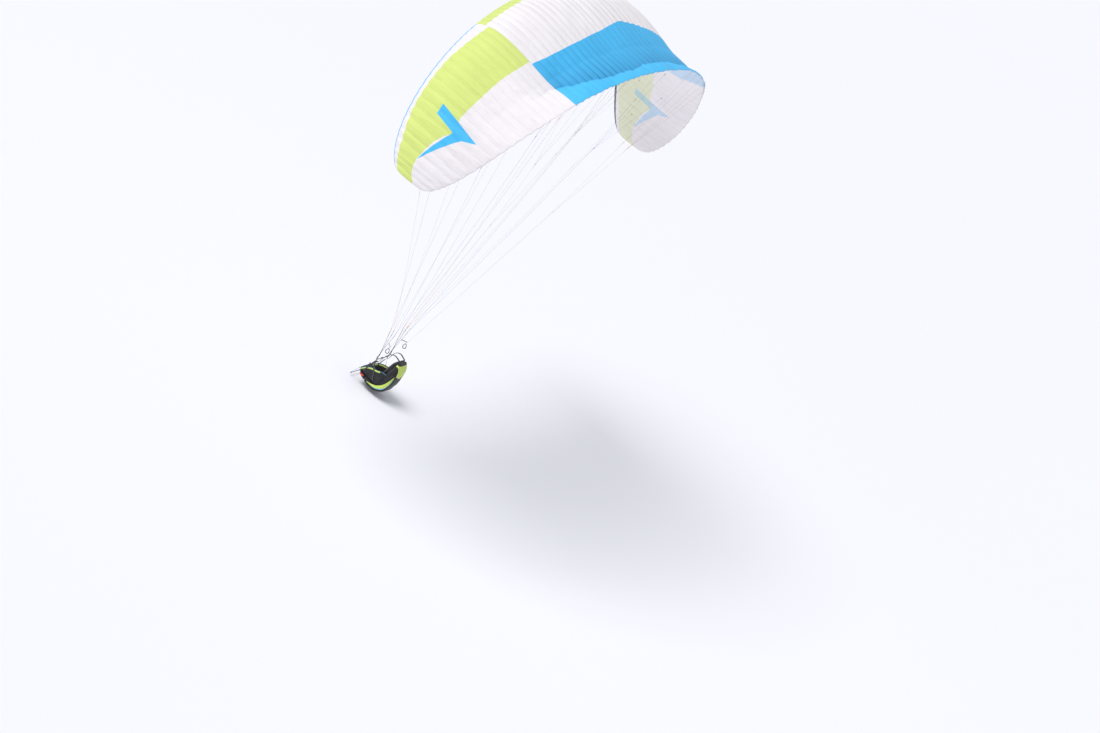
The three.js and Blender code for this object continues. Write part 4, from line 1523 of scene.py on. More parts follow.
    def brake_ends(self) -> list[list[tuple[Array, Array]]]:
        """Where the left brake's lines meet the tail, group by group: 12 mm and 1 mm below the skin."""
        low, high = self.canopy.flap
        clear = 0.013 / self.canopy.shape.half_span + 0.0175 * (self.brake_at - 0.72) / 0.28
        groups = []
        for ribs in self.brake_ribs:
            stations = [(low + clear) * (1 - i / self.flap_ribs) + (high - clear) * i / self.flap_ribs
                        for i in ribs]
            groups.append([tuple(self.anchor(s, self.brake_at, drop) for drop in (0.012, 0.001))
                           for s in stations])
        return groups

    def brakes(self, side: Side) -> None:
        """Builds one brake: line tree, pulley on its tab, cord and handle.

        Args:
            side: the side.
        """
        pulley = np.array([self.pivot[0] - 0.128, self.pivot[1] + 0.092, self.top_z + 0.33])
        way = unit([-0.15, 0.12, -1.0])
        top = pulley + [-0.0174, 0, 0.002]
        groups = self.brake_ends()
        fork = top + (np.mean([low for group in groups for low, _ in group], 0) - top) * 0.5
        lines = Surface(side.mirror)
        lines.tube(np.linspace(top, fork, 26), self.main_radius * 1.1, 6)
        for group in groups:
            knot = fork + (np.mean([low for low, _ in group], 0) - fork) * 0.5
            self.line(lines, fork, knot, self.upper_radius * 1.1, 0.01)
            for _, end in group:
                self.line(lines, knot, end, self.upper_radius, 0.006)
        bend(lines.build(f"brake_{side.value}_line_set", self.finishes.brake_cord), f"{side.value}_brake_line",
             top * side.mirror, fork * side.mirror, "brake_cord", f"brake_{side.value}_line")

        tab = Surface(side.mirror)
        sewn = np.array([self.pivot[0] - 0.041, self.pivot[1] + 0.013, self.top_z + 0.33])
        tab.strap(np.linspace(sewn, pulley + (sewn - pulley) * 0.13, 12), Z_AXIS, 0.0138, 0.0026)
        tab.deliver(f"brake_{side.value}_tab", self.finishes.webbing, "wing", "webbing")
        wheel = Surface(side.mirror)
        face = pulley - [0, 0.0045, 0]
        rim = [[0.0006, 0.0026], [0.0006, 0.0106], [0.0016, 0.0108], [0.0030, 0.0088], [0.0045, 0.0080],
               [0.0060, 0.0088], [0.0074, 0.0108], [0.0084, 0.0106], [0.0084, 0.0026]]
        wheel.lathe(face, Y_AXIS, rim, 40)
        wheel.lathe(face, Y_AXIS, [[0.0, 0.0018], [0.0002, 0.0024], [0.0088, 0.0024], [0.009, 0.0018]], 20)
        wheel.deliver(f"brake_{side.value}_wheel", self.finishes.steel, "wing", "stainless",
                      f"brake_{side.value}_pulley")

        stem_top, stem_end = pulley + way * 0.012, pulley + way * 0.052
        cord = Surface(side.mirror)
        cord.tube(smooth_path([top - [0, 0, 0.001], pulley + [-0.0113, 0.001, -0.009], stem_top + way * 0.004,
                               stem_end], 40), 0.0019, 8)
        bend(cord.build(f"brake_{side.value}_cord", self.finishes.brake_cord), f"{side.value}_brake_handle",
             stem_top * side.mirror, stem_end * side.mirror, "brake_cord")
        self.handle(side, stem_end)

    def handle(self, side: Side, stem_end: Array) -> None:
        """Builds one brake handle: a padded loop of webbing with its keeper and swivel.

        Args:
            side: the side.
            stem_end: the end of the cord that it hangs on, on the left side.
        """
        grip = Surface(side.mirror)
        u, turn = circle(72), circle(16)
        wide, tall = 0.0345, 0.0525
        oval = np.stack([wide * np.cos(u) * (1 - 0.22 * np.sin(u)), 0 * u, tall * np.sin(u)], -1)
        path = stem_end + [0, 0, -0.050] + oval
        pad = (0.0072 + 0.0014 * np.clip(-np.sin(u), 0, 1))[:, None]
        up = np.array(Y_AXIS)
        across = np.cross(unit(np.roll(path, -1, 0) - np.roll(path, 1, 0)), up)
        points = (path[:, None] + across[:, None] * (np.cos(turn) * pad * 0.85)[..., None]
                  + up * (np.sin(turn) * pad * 1.15)[..., None])
        far = np.linspace(0, 0.28, 72, endpoint=False)
        uv = np.stack(np.broadcast_arrays(far[:, None], np.cos(turn) * 0.008), -1)
        grip.take(points, grid_quads(72, 16, wrap_rows=True, wrap_cols=True), along=uv)
        keeper = [[-0.008, 0.004], [-0.007, 0.0068], [0.006, 0.0075], [0.0085, 0.0045]]
        grip.lathe(stem_end + [0, 0, 0.002], (0, 0, -1), keeper, 24)
        grip.deliver(f"brake_{side.value}_grip", self.finishes.webbing, f"{side.value}_brake_handle", "webbing",
                     f"brake_{side.value}_handle")


# Harness


@dataclass
class Stuffing:
    """Fills a sewn cover: its cloth is simulated under pressure from inside, and its seams hold it in."""

    voxel: float = 0.006
    pressure: float = 4.0
    frames: int = 20
    cap: float = 0.010
    sewn_above: float = 0.45
    held_below: float = 0.05

    def apply(self, piece: bpy.types.Object) -> None:
        """Makes what a piece's modifiers give its own mesh, and takes the modifiers off.

        Args:
            piece: the object.
        """
        graph = bpy.context.evaluated_depsgraph_get()
        graph.update()
        mesh = bpy.data.meshes.new_from_object(piece.evaluated_get(graph), preserve_all_data_layers=True,
                                               depsgraph=graph)
        piece.modifiers.clear()
        old, piece.data = piece.data, mesh
        bpy.data.meshes.remove(old)

    def places(self, mesh: bpy.types.Mesh) -> Array:
        """Reads a mesh's places.

        Args:
            mesh: the mesh.

        Returns:
            n by 3 places.
        """
        flat = np.zeros(len(mesh.vertices) * 3, np.float32)
        mesh.vertices.foreach_get("co", flat)
        return flat.reshape(-1, 3).astype(float)

    def remesh(self, piece: bpy.types.Object) -> tuple[Array, Array, Array]:
        """Makes the cover's mesh even, and carries its values over.

        Each new value is the mean of the three nearest old ones, weighted by one over the distance.

        Args:
            piece: the object, with the values seam and free.

        Returns:
            The even mesh's places, and the seam and free values there.
        """
        coarse = self.places(piece.data)
        given = {}
        for key in ("seam", "free"):
            value = np.zeros(len(coarse), np.float32)
            piece.data.attributes[key].data.foreach_get("value", value)
            given[key] = value.astype(float)
        even = piece.modifiers.new("even", "REMESH")
        even.mode, even.voxel_size = "VOXEL", self.voxel
        self.apply(piece)
        rest = self.places(piece.data)
        tree = KDTree(len(coarse))
        for i, spot in enumerate(coarse.tolist()):
            tree.insert(spot, i)
        tree.balance()
        near = [tree.find_n(spot, 3) for spot in rest.tolist()]
        index = np.array([[hit[1] for hit in hits] for hits in near])
        weight = 1 / (np.array([[hit[2] for hit in hits] for hits in near]) + 1e-5)
        weight /= weight.sum(1, keepdims=True)
        seam, free = ((given[key][index] * weight).sum(1) for key in ("seam", "free"))
        return rest, seam, free

    def soften(self, piece: bpy.types.Object, seam: Array, rounds: int = 2) -> Array:
        """Takes the jagged edge off the seam values: each moves halfway to its neighbours' mean.

        Args:
            piece: the object.
            seam: the seam's value at each place.
            rounds: how often.

        Returns:
            The smoother values, half as strong again.
        """
        ends = np.zeros(len(piece.data.edges) * 2, np.int32)
        piece.data.edges.foreach_get("vertices", ends)
        ends = np.concatenate([ends.reshape(-1, 2), ends.reshape(-1, 2)[:, ::-1]])
        count = np.bincount(ends[:, 0], minlength=len(seam))
        for _ in range(rounds):
            around = np.bincount(ends[:, 0], seam[ends[:, 1]], len(seam)) / np.maximum(count, 1)
            seam = 0.5 * seam + 0.5 * around
        return np.clip(seam * 1.5, 0, 1)

    def swell(self, piece: bpy.types.Object) -> tuple[Array, Array]:
        """Remeshes the cover evenly, pins it at its seams, blows it up and limits how far it moved.

        What rests on something stays where it is: its share free is 0.

        Args:
            piece: the object, with the values seam and free.

        Returns:
            The places before it swelled, and the seams' strength at each.
        """
        rest, seam, free = self.remesh(piece)
        seam = self.soften(piece, seam)
        sewn = piece.vertex_groups.new(name="sewn")
        for held in (seam > self.sewn_above, free < self.held_below):
            sewn.add(np.nonzero(held)[0].tolist(), 1.0, "REPLACE")
        cloth = piece.modifiers.new("cloth", "CLOTH")
        settings = cloth.settings
        settings.quality = 5
        settings.mass = 0.2
        settings.tension_stiffness = settings.compression_stiffness = 12
        settings.bending_stiffness = 0.4
        settings.use_pressure = True
        settings.uniform_pressure_force = self.pressure
        settings.vertex_group_mass = sewn.name
        settings.effector_weights.gravity = 0
        cloth.point_cache.frame_start, cloth.point_cache.frame_end = 1, self.frames
        for frame_number in range(1, self.frames + 1):
            bpy.context.scene.frame_set(frame_number)
        graph = bpy.context.evaluated_depsgraph_get()
        moved = self.places(piece.evaluated_get(graph).data) - rest
        piece.modifiers.clear()
        bpy.context.scene.frame_set(1)
        length = np.maximum(np.linalg.norm(moved, axis=1, keepdims=True), 1e-9)
        moved *= np.minimum(1, self.cap / length) * free[:, None]
        piece.data.vertices.foreach_set("co", (rest + moved).astype(np.float32).ravel())
        piece.data.update()
        LOG.info("%s swelled by up to %.1f mm", piece.name, 1000 * float(np.linalg.norm(moved, axis=1).max()))
        return rest, seam


@dataclass
class Pad:
    """A stuffed or sewn form carried along a spine.

    Each row of the spine gives a near and a far point in the side view and a half width, in
    millimetres from the harness's pivot. The section is a superellipse |a|^n + |b|^m = 1 between the
    two points and across the width, which narrows to a rounded end at both ends of the spine.
    """

    rows: tuple
    across_power: float = 3.6
    depth_power: float = 3.0
    rounding: float = 0.03
    count: int = 90
    round_count: int = 96
    seams: tuple[float, ...] = ()
    seam_depth: float = 0.004
    seam_width: float = 0.006
    channels: tuple[float, ...] = ()
    wrinkle: float = 0.0015
    crown: float = 0.0

    def surface(self, origin: tuple[float, float]) -> Surface:
        """Works the form out.

        Args:
            origin: x and z of the pivot that the side view is drawn from.

        Returns:
            The mesh.
        """
        rows = np.array(self.rows, float) / 1000
        t = travelled((rows[:, 0:2] + rows[:, 2:4]) / 2)
        n, m = self.count, self.round_count
        closer = (1 - np.cos(np.linspace(0, math.pi, n))) / 2
        at = t[-1] * (0.55 * closer + 0.45 * np.linspace(0, 1, n))
        near_far = hermite(t, rows, at)
        near, far, half = near_far[:, 0:2], near_far[:, 2:4], near_far[:, 4:]
        full = np.clip(np.minimum(at, t[-1] - at) / self.rounding, 0, 1)
        shut = (0.04 + 0.96 * (1 - (1 - full) ** 2.4) ** (1 / 2.4))[:, None]
        centre, depth = (near + far) / 2, (far - near) / 2
        size = np.linalg.norm(depth, axis=1)[:, None]

        # places round the section, spread by distance rather than by angle
        dense = circle(4001, True)
        a = signed_power(np.cos(dense), 2 / self.across_power)
        b = signed_power(np.sin(dense), 2 / self.depth_power)
        walk = travelled(np.stack([a * half.mean(), b * float(size.mean())], -1))
        turn = np.interp(np.linspace(0, walk[-1], m, endpoint=False), walk, dense)
        a, b = np.interp(turn, dense, a), np.interp(turn, dense, b)
        wide = half * (0.93 + 0.07 * shut) * a
        deep = b * shut * (1 + self.crown * (1 - a**2))

        # seams along it and channels across it draw the cover in, and the rest is a little uneven
        spot = np.zeros((n, m))
        for seam in self.seams:
            line = np.exp(-(((wide - seam * half) / self.seam_width) ** 2)) * (np.abs(b) > 0.5)
            spot = np.maximum(spot, line)
        for channel in self.channels:
            spot = np.maximum(spot, np.exp(-(((at - channel * t[-1]) / self.seam_width) ** 2))[:, None])
        far_along = at[:, None]
        ripple = (np.sin(far_along * 87 + 2.1 * np.sin(turn * 3)) * np.sin(turn * 5 + far_along * 31)
                  + 0.5 * np.sin(far_along * 190 + turn * 4))
        deep = deep * (1 - spot * self.seam_depth / np.maximum(size, 0.01)
                       + ripple * self.wrinkle / np.maximum(size, 0.02) * shut)
        place = np.stack([origin[0] + centre[:, :1] + deep * depth[:, :1], wide,
                          origin[1] + centre[:, 1:] + deep * depth[:, 1:]], -1)
        free = np.broadcast_to(np.clip((b + 0.5) / 0.7, 0, 1), (n, m))
        lime, trim = self.accents(place, origin)
        surface = Surface()
        surface.wrap(place, place[[0, -1]].mean(1), seam=(spot, [0, 0]), free=(free, [1, 1]),
                     lime=(lime, [-1, -1]), blue=(trim, [-1, -1]))
        return surface

    def stuffed(self, name: str, finish: bpy.types.Material, origin: tuple[float, float],
                stuffing: Stuffing) -> bpy.types.Object:
        """Builds the piece and blows its cover up.

        Args:
            name: the piece's name.
            finish: its material.
            origin: x and z of the pivot that the side view is drawn from.
            stuffing: how hard it is filled.

        Returns:
            The finished object.
        """
        piece = self.surface(origin).build(name, finish)
        rest, seam = stuffing.swell(piece)
        lime, trim = self.accents(rest, origin)
        for key, value in (("seam", seam), ("lime", lime), ("blue", trim)):
            piece.data.attributes.new(key, "FLOAT", "POINT").data.foreach_set("value", value.astype(np.float32))
        finer = piece.modifiers.new("finer", "SUBSURF")
        finer.levels = finer.render_levels = 1
        stuffing.apply(piece)
        piece.data.name = name
        return piece

    def accents(self, place: Array, origin: tuple[float, float]) -> tuple[Array, Array]:
        """Signed distances to the lime panels and the pale blue trim. A plain pad has none."""
        none = np.full(place.shape[:-1], -1.0)
        return none, none


@dataclass
class ShellPad(Pad):
    """The harness's back shell, with a lime panel high on the back and a lime sweep along each side.

    The sweep is part of a parabola in the side view, from the first to the last of its three places
    and drawn towards the middle one. It is thick in its middle and thin at its ends, with a pale blue
    edge below it.
    """

    sweep: tuple = ((-0.505, -0.09), (-0.46, -0.56), (-0.03, -0.535))
    sweep_half: float = 0.036
    edge_half: float = 1.25

    def accents(self, place: Array, origin: tuple[float, float]) -> tuple[Array, Array]:
        """Signed distances to the panels: a rounded field on the upper back, and a curved band on each side.

        Args:
            place: places, with a last axis of 3.
            origin: x and z of the pivot that the side view is drawn from.

        Returns:
            The distances to the lime panels and to the pale blue trim, positive inside.
        """
        x, y, z = place[..., 0] - origin[0], np.abs(place[..., 1]), place[..., 2] - origin[1]
        upper = np.minimum(np.minimum(z + 0.13 - 0.35 * y, 0.150 - z), 0.145 - y + 0.10 * (z + 0.1))
        upper = np.minimum(upper, -0.415 + 0.15 * z - x)
        turned = 0.9 * np.clip(0.185 - y, 0, 1)
        x, z = (x - turned)[..., None], (z - 0.6 * turned)[..., None]
        t = np.linspace(0, 1, 120)[:, None]
        a, b, c = np.array(self.sweep)
        curve_x, curve_z = ((1 - t) ** 2 * a + 2 * t * (1 - t) * b + t**2 * c).T
        wide = self.sweep_half * np.sin(math.pi * t[:, 0]**0.7) ** 0.8
        band = (wide - np.hypot(x - curve_x, z - curve_z)).max(-1)
        below = np.hypot(x - curve_x + 0.12 * wide, z - curve_z + 0.22 * wide)
        under = (self.edge_half * wide - below).max(-1)
        return np.maximum(upper, band), np.minimum(under, -band)


@dataclass
class Harness:
    """The seated harness: board, pads, shell, reserve pocket, side panels, straps, buckles and speed bar."""

    finishes: Finishes
    pivot: tuple[float, float] = (-0.2, -8.045)

    def at(self, x: float, y: float, z: float) -> Array:
        """A place given from the pivot in millimetres."""
        return np.array([self.pivot[0] + x / 1000, y / 1000, self.pivot[1] + z / 1000])

    def build(self) -> None:
        """Builds every piece of the harness."""
        self.pads()
        for side in Side:
            self.panel(side)
        for side in Side:
            self.hang_strap(side)
            self.shoulder_strap(side)
            self.leg_strap(side)
            self.reserve_handle(side)
        chest = Surface()
        across = np.linspace(self.at(4.9, -225.5, -34), self.at(4.9, 225.5, -34), 60)
        chest.strap(across, Z_AXIS, 0.0218, 0.0028)
        chest.deliver("chest_strap_webbing", self.finishes.webbing, "harness", "webbing", "chest_strap")
        self.buckles()
        self.speed_system()
        dress(bpy.data.objects["seat_board"], self.finishes.plywood)

    def pads(self) -> None:
        """Builds the cushion, the back pad, the shell and the reserve pocket."""
        cushion = Pad(rows=((-172, -452, -172, -404, 184), (-60, -438, -60, -390, 186),
                            (60, -424, 60, -374, 186), (200, -408, 200, -366, 184),
                            (214, -400, 214, -380, 176)),
                      seams=(-0.34, 0.34), channels=(0.32, 0.64), crown=0.10, rounding=0.022, seam_depth=0.006)
        back = Pad(rows=((-240, -450, -178, -448, 160), (-238, -400, -176, -396, 166),
                         (-292, -160, -223, -160, 168), (-352, 40, -272, 40, 166),
                         (-372, 130, -306, 128, 160), (-384, 196, -350, 188, 140)),
                   seams=(-0.42, 0.42), channels=(0.25, 0.5, 0.75), crown=0.08, rounding=0.03, seam_depth=0.006)
        shell = ShellPad(rows=((-388, 196, -440, 190, 140), (-356, 40, -505, 60, 186),
                               (-296, -160, -520, -150, 198), (-246, -380, -492, -360, 200),
                               (-236, -452, -425, -525, 200),
                               (-176, -466, -300, -608, 200), (-80, -455, -120, -627, 199),
                               (16, -444, 18, -600, 194)),
                         seams=(-0.86, 0.86), channels=(0.36, 0.66), rounding=0.045, count=150,
                         round_count=140, across_power=5.0, seam_depth=0.004, wrinkle=0.0028)
        pocket = Pad(rows=((22, -444, 22, -597, 176), (120, -433, 120, -559, 178), (170, -427, 170, -512, 176),
                           (205, -422, 205, -452, 168)),
                     seams=(-0.8, 0.8), channels=(0.5,), rounding=0.03, across_power=4.4, wrinkle=0.0024)
        foam, fabric = self.finishes.foam, self.finishes.fabric
        for pad, name, node, finish, slot, fill, stuffing in (
                (cushion, "seat_cushion_pad", "seat_cushion", foam, "harness_foam", 0.7, Stuffing(0.005, 9.0)),
                (back, "back_pad_cover", "back_pad", foam, "harness_foam", 0.6, Stuffing(0.006, 9.0)),
                (shell, "back_shell_cover", "back_shell", fabric, "harness_fabric", 0.5, Stuffing(0.0084)),
                (pocket, "reserve_pocket_cover", "reserve_pocket", fabric, "harness_fabric", 0.6,
                 Stuffing(0.006, 8.0, cap=0.009))):
            piece = ride(pad.stuffed(name, finish, self.pivot, stuffing), "harness", slot, node)

    def panel(self, side: Side) -> None:
        """Builds a side panel: lofted from the seat's edge up to a curved hem, bulging outwards.

        Args:
            side: the side.
        """
        n, m = 80, 44
        u, v = np.linspace(0, 1, n)[:, None], np.linspace(0, 1, m)
        x = (-270 - 66 * v) * (1 - u) + 204 * u
        knots = np.array([-320, -235, -120, 20, 150, 206.0])
        rim = hermite(knots, np.array([-140, -152, -192, -234, -334, -404.0]), x.ravel()).reshape(x.shape)
        foot = np.interp(x, [-225, 205], [-463, -415])
        z = foot * (1 - v) + rim * v
        bulge = 3.2 * np.sin(math.pi * u) * np.sin(math.pi * v) ** 0.7
        fold = 1.1 * np.sin(x / 21 + 3 * v) * np.sin(math.pi * v)
        y = 206.4 + bulge + fold - 4.6 * np.clip((-190 - x) / 70, 0, 1) ** 2
        place = np.stack([self.pivot[0] + x / 1000, y / 1000, self.pivot[1] + z / 1000], -1)
        normal = grid_normals(place)
        normal = normal if normal[n // 2, m // 2, 1] > 0 else -normal
        hem = np.clip(1 - np.minimum(1 - v, v) * np.abs(rim - foot) / 9, 0, 1)
        below = (rim - z) / 1000
        lime = np.minimum(np.minimum(below - 0.019, 0.048 - below), (x + 200) / 1000)
        panel = Surface(side.mirror)
        panel.cloth(place + normal * hem[..., None] * 0.0012, normal, 0.0046, seam=hem * 0.9, lime=lime,
                    blue=np.minimum(below - 0.012, 0.019 - below))
        piece = panel.deliver(f"side_{side.value}_panel_cover", self.finishes.fabric, "harness",
                              "harness_fabric", f"side_{side.value}_panel")

    def hang_strap(self, side: Side) -> None:
        """Builds the strap that hangs from the carabiner and forks to the front and the rear of the seat.

        Args:
            side: the side.
        """
        hang = Surface(side.mirror)
        hang.strap(self.at(0, 230, 0) + 0.0095 * hoop(), Y_AXIS, 0.022, 0.0054)
        joint = self.at(0, 230, -70)
        drop = np.linspace(self.at(0, 230, -9), joint - [0, 0, 0.006], 16)
        for shift in (-0.0016, 0.0016):
            hang.strap(drop + [shift, 0, 0], Y_AXIS, 0.022, 0.003)
        for x, z in ((120, -405), (-150, -435)):
            foot = self.at(x, 212, z)
            path = smooth_path([joint + [0, 0, 0.006], joint * 0.94 + foot * 0.06,
                                joint * 0.5 + foot * 0.5 + [0, 0.001, 0], foot], 40)
            wide = np.stack([np.linspace(0.25, 1, 40), np.linspace(1, 0.02, 40) ** 2, np.zeros(40)], -1)
            hang.strap(path, wide, 0.0245, 0.003)
        hang.deliver(f"hang_{side.value}_webbing", self.finishes.webbing, "harness", "webbing",
                     f"hang_{side.value}_strap")

    def shoulder_strap(self, side: Side) -> None:
        """Builds a shoulder strap: padded and wide over the shoulder, plain webbing towards the hang strap.

        Args:
            side: the side.
        """
        shoulder = Surface(side.mirror)
        knots = ((-386, 93, 172), (-381, 94, 204), (-336, 99, 222), (-240, 110, 245), (-190, 119, 228),
                 (-140, 130, 190), (-70, 165, 40), (-26, 218, -66), (-5, 229.5, -79))
        u = np.linspace(0, 1, 90)
        width = 0.042 - 0.020 * np.clip((u - 0.72) / 0.15, 0, 1)
        thick = 0.0095 - 0.0062 * np.clip((u - 0.72) / 0.10, 0, 1)
        shoulder.strap(smooth_path([self.at(*knot) for knot in knots], 90), Y_AXIS, width, thick, soft=0.9)
        piece = shoulder.deliver(f"shoulder_{side.value}_webbing", self.finishes.wide_webbing, "harness",
                                 "webbing", f"shoulder_{side.value}_strap")

    def leg_strap(self, side: Side) -> None:
        """Builds a leg strap, which rises from the middle of the seat and turns down to its side.

        Args:
            side: the side.
        """
        leg = Surface(side.mirror)
        knots = ((150, 40, -366), (130, 62, -270), (105, 125, -222), (80, 158, -240), (50, 172, -300))
        leg.strap(smooth_path([self.at(*knot) for knot in knots], 60), (0.85, 0, 0.5), 0.033, 0.0048, soft=0.8)
        leg.deliver(f"leg_{side.value}_webbing", self.finishes.wide_webbing, "harness", "webbing",
                    f"leg_{side.value}_strap")

    def reserve_handle(self, side: Side) -> None:
        """Builds a reserve handle: a flat loop of round bar on a band sewn to the pocket.

        Args:
            side: the side.
        """
        handle = Surface(side.mirror)
        u = circle(64)
        # the wave goes the same way on both sides
        wave = 0.0015 * side.mirror[1] * np.cos(2 * u)
        loop = np.stack([0.041 * signed_power(np.cos(u), 0.6), wave,
                         0.0112 * signed_power(np.sin(u), 0.6)], -1)
        handle.ring(self.at(110, 190.2, -501) + loop, 0.0066, 14)
        base = np.linspace(self.at(64, 183.2, -501), self.at(156, 183.2, -501), 16)
        handle.strap(base, Z_AXIS, 0.030, 0.0044)
        handle.deliver(f"reserve_{side.value}_grip", self.finishes.orange, "harness", "reserve_orange",
                       f"reserve_{side.value}_handle")

    def buckles(self) -> None:
        """Builds the chest and leg buckles: a rounded body with raised ribs to grip."""
        body = Surface()
        self.buckle(body, self.at(11.2, 0, -34), np.array(Y_AXIS), np.array(Z_AXIS), 0.062, 0.035, 0.0088)
        body.deliver("chest_buckle_body", self.finishes.plastic, "harness", "buckle_plastic", "chest_buckle")
        a, b = self.at(130, 62, -270), self.at(105, 125, -222)
        along = unit(b - a)
        wide = np.array([0.85, 0, 0.5])
        wide = unit(wide - along * (wide @ along))
        face = np.cross(along, wide)
        face = face if face[2] > 0 else -face
        for side in Side:
            body = Surface(side.mirror)
            self.buckle(body, a * 0.475 + b * 0.525 + face * 0.0074, along, wide, 0.044, 0.041, 0.0076)
            body.deliver(f"leg_{side.value}_buckle_body", self.finishes.plastic, "harness", "buckle_plastic",
                         f"leg_{side.value}_buckle")

    def buckle(self, surface: Surface, centre: Array, along: Array, wide: Array, long: float, width: float,
               thick: float) -> None:
        """Adds a side-release buckle: a superellipse body narrowed at its waist, with ribs raised on its face.

        Args:
            surface: the mesh being made.
            centre: its middle.
            along: direction of its length.
            wide: direction of its width.
            long: its length.
            width: its width.
            thick: its thickness.
        """
        t, turn = np.linspace(-1, 1, 60)[:, None], circle(48)
        end = (1 - np.clip((np.abs(t) - 0.86) / 0.14, 0, 1) ** 2.2) ** 0.5
        waist = 1 - 0.16 * np.exp(-((t / 0.16) ** 2))
        rib = 1 + 0.10 * (np.sin(t * 46) > 0.2) * (np.abs(t) > 0.30) * (np.abs(t) < 0.80)
        x = width / 2 * waist * (0.3 + 0.7 * end) * signed_power(np.cos(turn), 0.35)
        y = thick / 2 * (0.25 + 0.75 * end) * rib / 1.1 * signed_power(np.sin(turn), 0.45)
        points = (centre + along * (t[..., None] * long / 2) + wide * x[..., None]
                  + np.cross(along, wide) * y[..., None])
        surface.wrap(points, points[[0, -1]].mean(1))

    def speed_system(self) -> None:
        """Builds the foot bar with its end caps and the cords that pull the front risers."""
        bar = Surface()
        tube = [[0.0, 0.0052], [0.0012, 0.0078], [0.020, 0.0079], [0.021, 0.0070], [0.339, 0.0070],
                [0.340, 0.0079], [0.3588, 0.0078], [0.36, 0.0052]]
        bar.lathe(self.at(330, -180, -640), Y_AXIS, tube, 32)
        bar.deliver("speed_bar_tube", self.finishes.alloy, "harness", "alloy", "speed_bar")
        for side in Side:
            cord = Surface(side.mirror)
            eye = self.at(212, 224, -400)
            cord.tube(np.concatenate([np.linspace(self.at(330, 150, -640 + 9.2), eye, 24)[:-1],
                                      np.linspace(eye, self.at(16, 238, -110), 30)]), 0.0022, 8)
            cord.tube(self.at(330, 150, -640) + 0.0098 * hoop(25), 0.0019, 8)
            u = circle(28)
            cord.ring(eye + 0.0045 * np.stack([np.cos(u), 0 * u, np.sin(u)], -1), 0.0016, 8)
            cord.deliver(f"speed_{side.value}_line", self.finishes.speed_cord, "harness", "speed_cord",
                         f"speed_{side.value}_cord")


def dress(node: bpy.types.Object, finish: bpy.types.Material) -> None:
    """Gives a CAD node that keeps its own shape a better material."""
    node.data.materials.clear()
    node.data.materials.append(finish)


@dataclass
class Carabiners:
    """The two main carabiners, with the locking sleeve and the hinge pin of each gate."""

    finishes: Finishes
    centre: tuple = (-0.2, 0.254, -7.9975)

    def build(self) -> None:
        """Dresses the forged rings, and adds a knurled sleeve and two pins on each outer bar."""
        place = np.array(self.centre)
        z = np.linspace(-0.017, 0.017, 35)
        knurl = 0.0071 + 0.00035 * (np.arange(35) % 2) * (np.abs(z) < 0.012)
        knurl[[0, -1]] = 0.0060
        for side in Side:
            dress(bpy.data.objects[f"carabiner_{side.value}"], self.finishes.alloy)
            sleeve = Surface(side.mirror)
            sleeve.lathe(place, Z_AXIS, np.stack([z, knurl], -1), 44)
            sleeve.deliver(f"carabiner_{side.value}_sleeve", self.finishes.plastic, "wing", "alloy")
            pin = Surface(side.mirror)
            for spot in (-0.026, 0.026):
                pin.lathe(place + [-0.0062, 0, spot], (1, 0, 0),
                          [[0, 0.0012], [0.0003, 0.0019], [0.0121, 0.0019], [0.0124, 0.0012]], 20)
            pin.deliver(f"carabiner_{side.value}_pins", self.finishes.steel, "wing", "stainless")


# Camera, light and floor


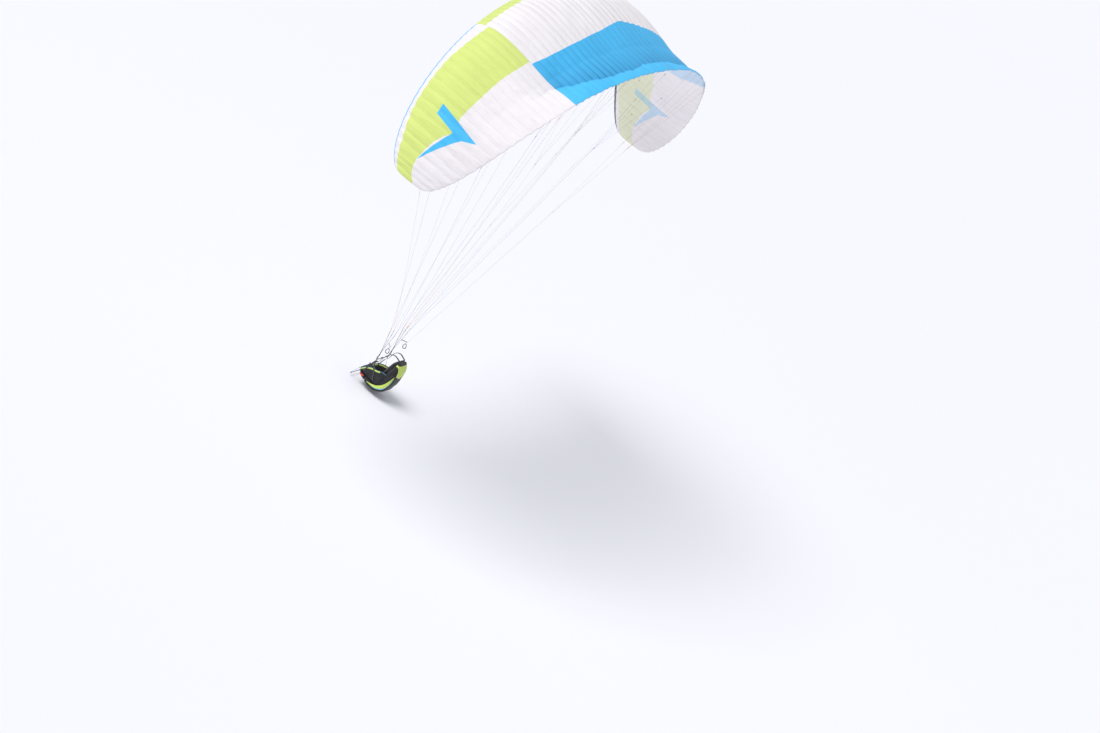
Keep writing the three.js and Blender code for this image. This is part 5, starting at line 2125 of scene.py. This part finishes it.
@dataclass
class Studio:
    """A pale floor, soft light, and the camera at the photograph's viewpoint."""

    eye: tuple = (-16.397, 43.043, 13.492)
    look: tuple = (0.27057, -0.87802, -0.39480)
    right: tuple = (-0.72705, -0.45517, 0.51402)
    down: tuple = (-0.63103, 0.14796, -0.76152)
    focal_px: float = 2600.0
    image_px: float = 1100.0
    sensor: float = 36.0
    floor_z: float = -8.75
    floor_half: float = 420.0
    sky: float = 0.50
    sun_way: tuple = (-0.38, -0.42, -0.82)
    sun_power: float = 2.1
    sun_spread: float = 32.0

    def build(self) -> None:
        """Builds the floor, the lights and the camera."""
        self.floor()
        scene = bpy.context.scene
        scene.world = bpy.data.worlds.new("studio")
        scene.world.use_nodes = True
        background = scene.world.node_tree.nodes["Background"]
        background.inputs[0].default_value = linear("F4F6FF")
        background.inputs[1].default_value = self.sky
        light = bpy.data.lights.new("key", "SUN")
        light.energy = self.sun_power
        light.angle = math.radians(self.sun_spread)
        lamp = bpy.data.objects.new("key", light)
        scene.collection.objects.link(lamp)
        lamp.rotation_euler = Vector(self.sun_way).to_track_quat("-Z", "Y").to_euler()
        scene.view_settings.view_transform = "Standard"
        self.camera()

    def floor(self) -> None:
        """Builds the floor, far wider than the view."""
        mesh = bpy.data.meshes.new("floor")
        r, z = self.floor_half, self.floor_z
        mesh.from_pydata([(-r, -r, z), (r, -r, z), (r, r, z), (-r, r, z)], [], [(0, 1, 2, 3)])
        floor = bpy.data.objects.new("floor", mesh)
        bpy.context.scene.collection.objects.link(floor)
        draft = Draft("studio_floor_pale")
        place = draft.put("TexCoord", (), "Object")
        cloud = draft.put("TexNoise", {"Vector": place, "Scale": 0.05, "Detail": 2.0})
        draft.paint("F8F8FD", Layer(cloud, "FBFBFE"))
        mesh.materials.append(draft.done({"Roughness": 0.9}))

    def camera(self) -> None:
        """Sets the camera up: the nearest rotation to the three measured axes, and the fitted focal length."""
        camera = bpy.data.cameras.new("camera")
        camera.sensor_width = self.sensor
        camera.lens = self.focal_px / self.image_px * self.sensor
        camera.clip_end = 2000.0
        camera.dof.use_dof = False
        eye = bpy.data.objects.new("camera", camera)
        bpy.context.scene.collection.objects.link(eye)
        u, _, v = np.linalg.svd(np.stack([self.right, -np.array(self.down), -np.array(self.look)], 1))
        matrix = Matrix((u @ v).tolist()).to_4x4()
        matrix.translation = self.eye
        eye.matrix_world = matrix
        bpy.context.scene.camera = eye


def main() -> None:
    """Builds the glider piece by piece, then the studio."""
    logging.basicConfig(level=logging.INFO, format="%(message)s")
    Studio().build()
    finishes = Finishes()
    Harness(finishes).build()
    canopy = Canopy(finishes)
    canopy.build()
    Rigging(finishes, canopy).build()
    Carabiners(finishes).build()
    canopy.declare_all()


if __name__ == "__main__":
    main()
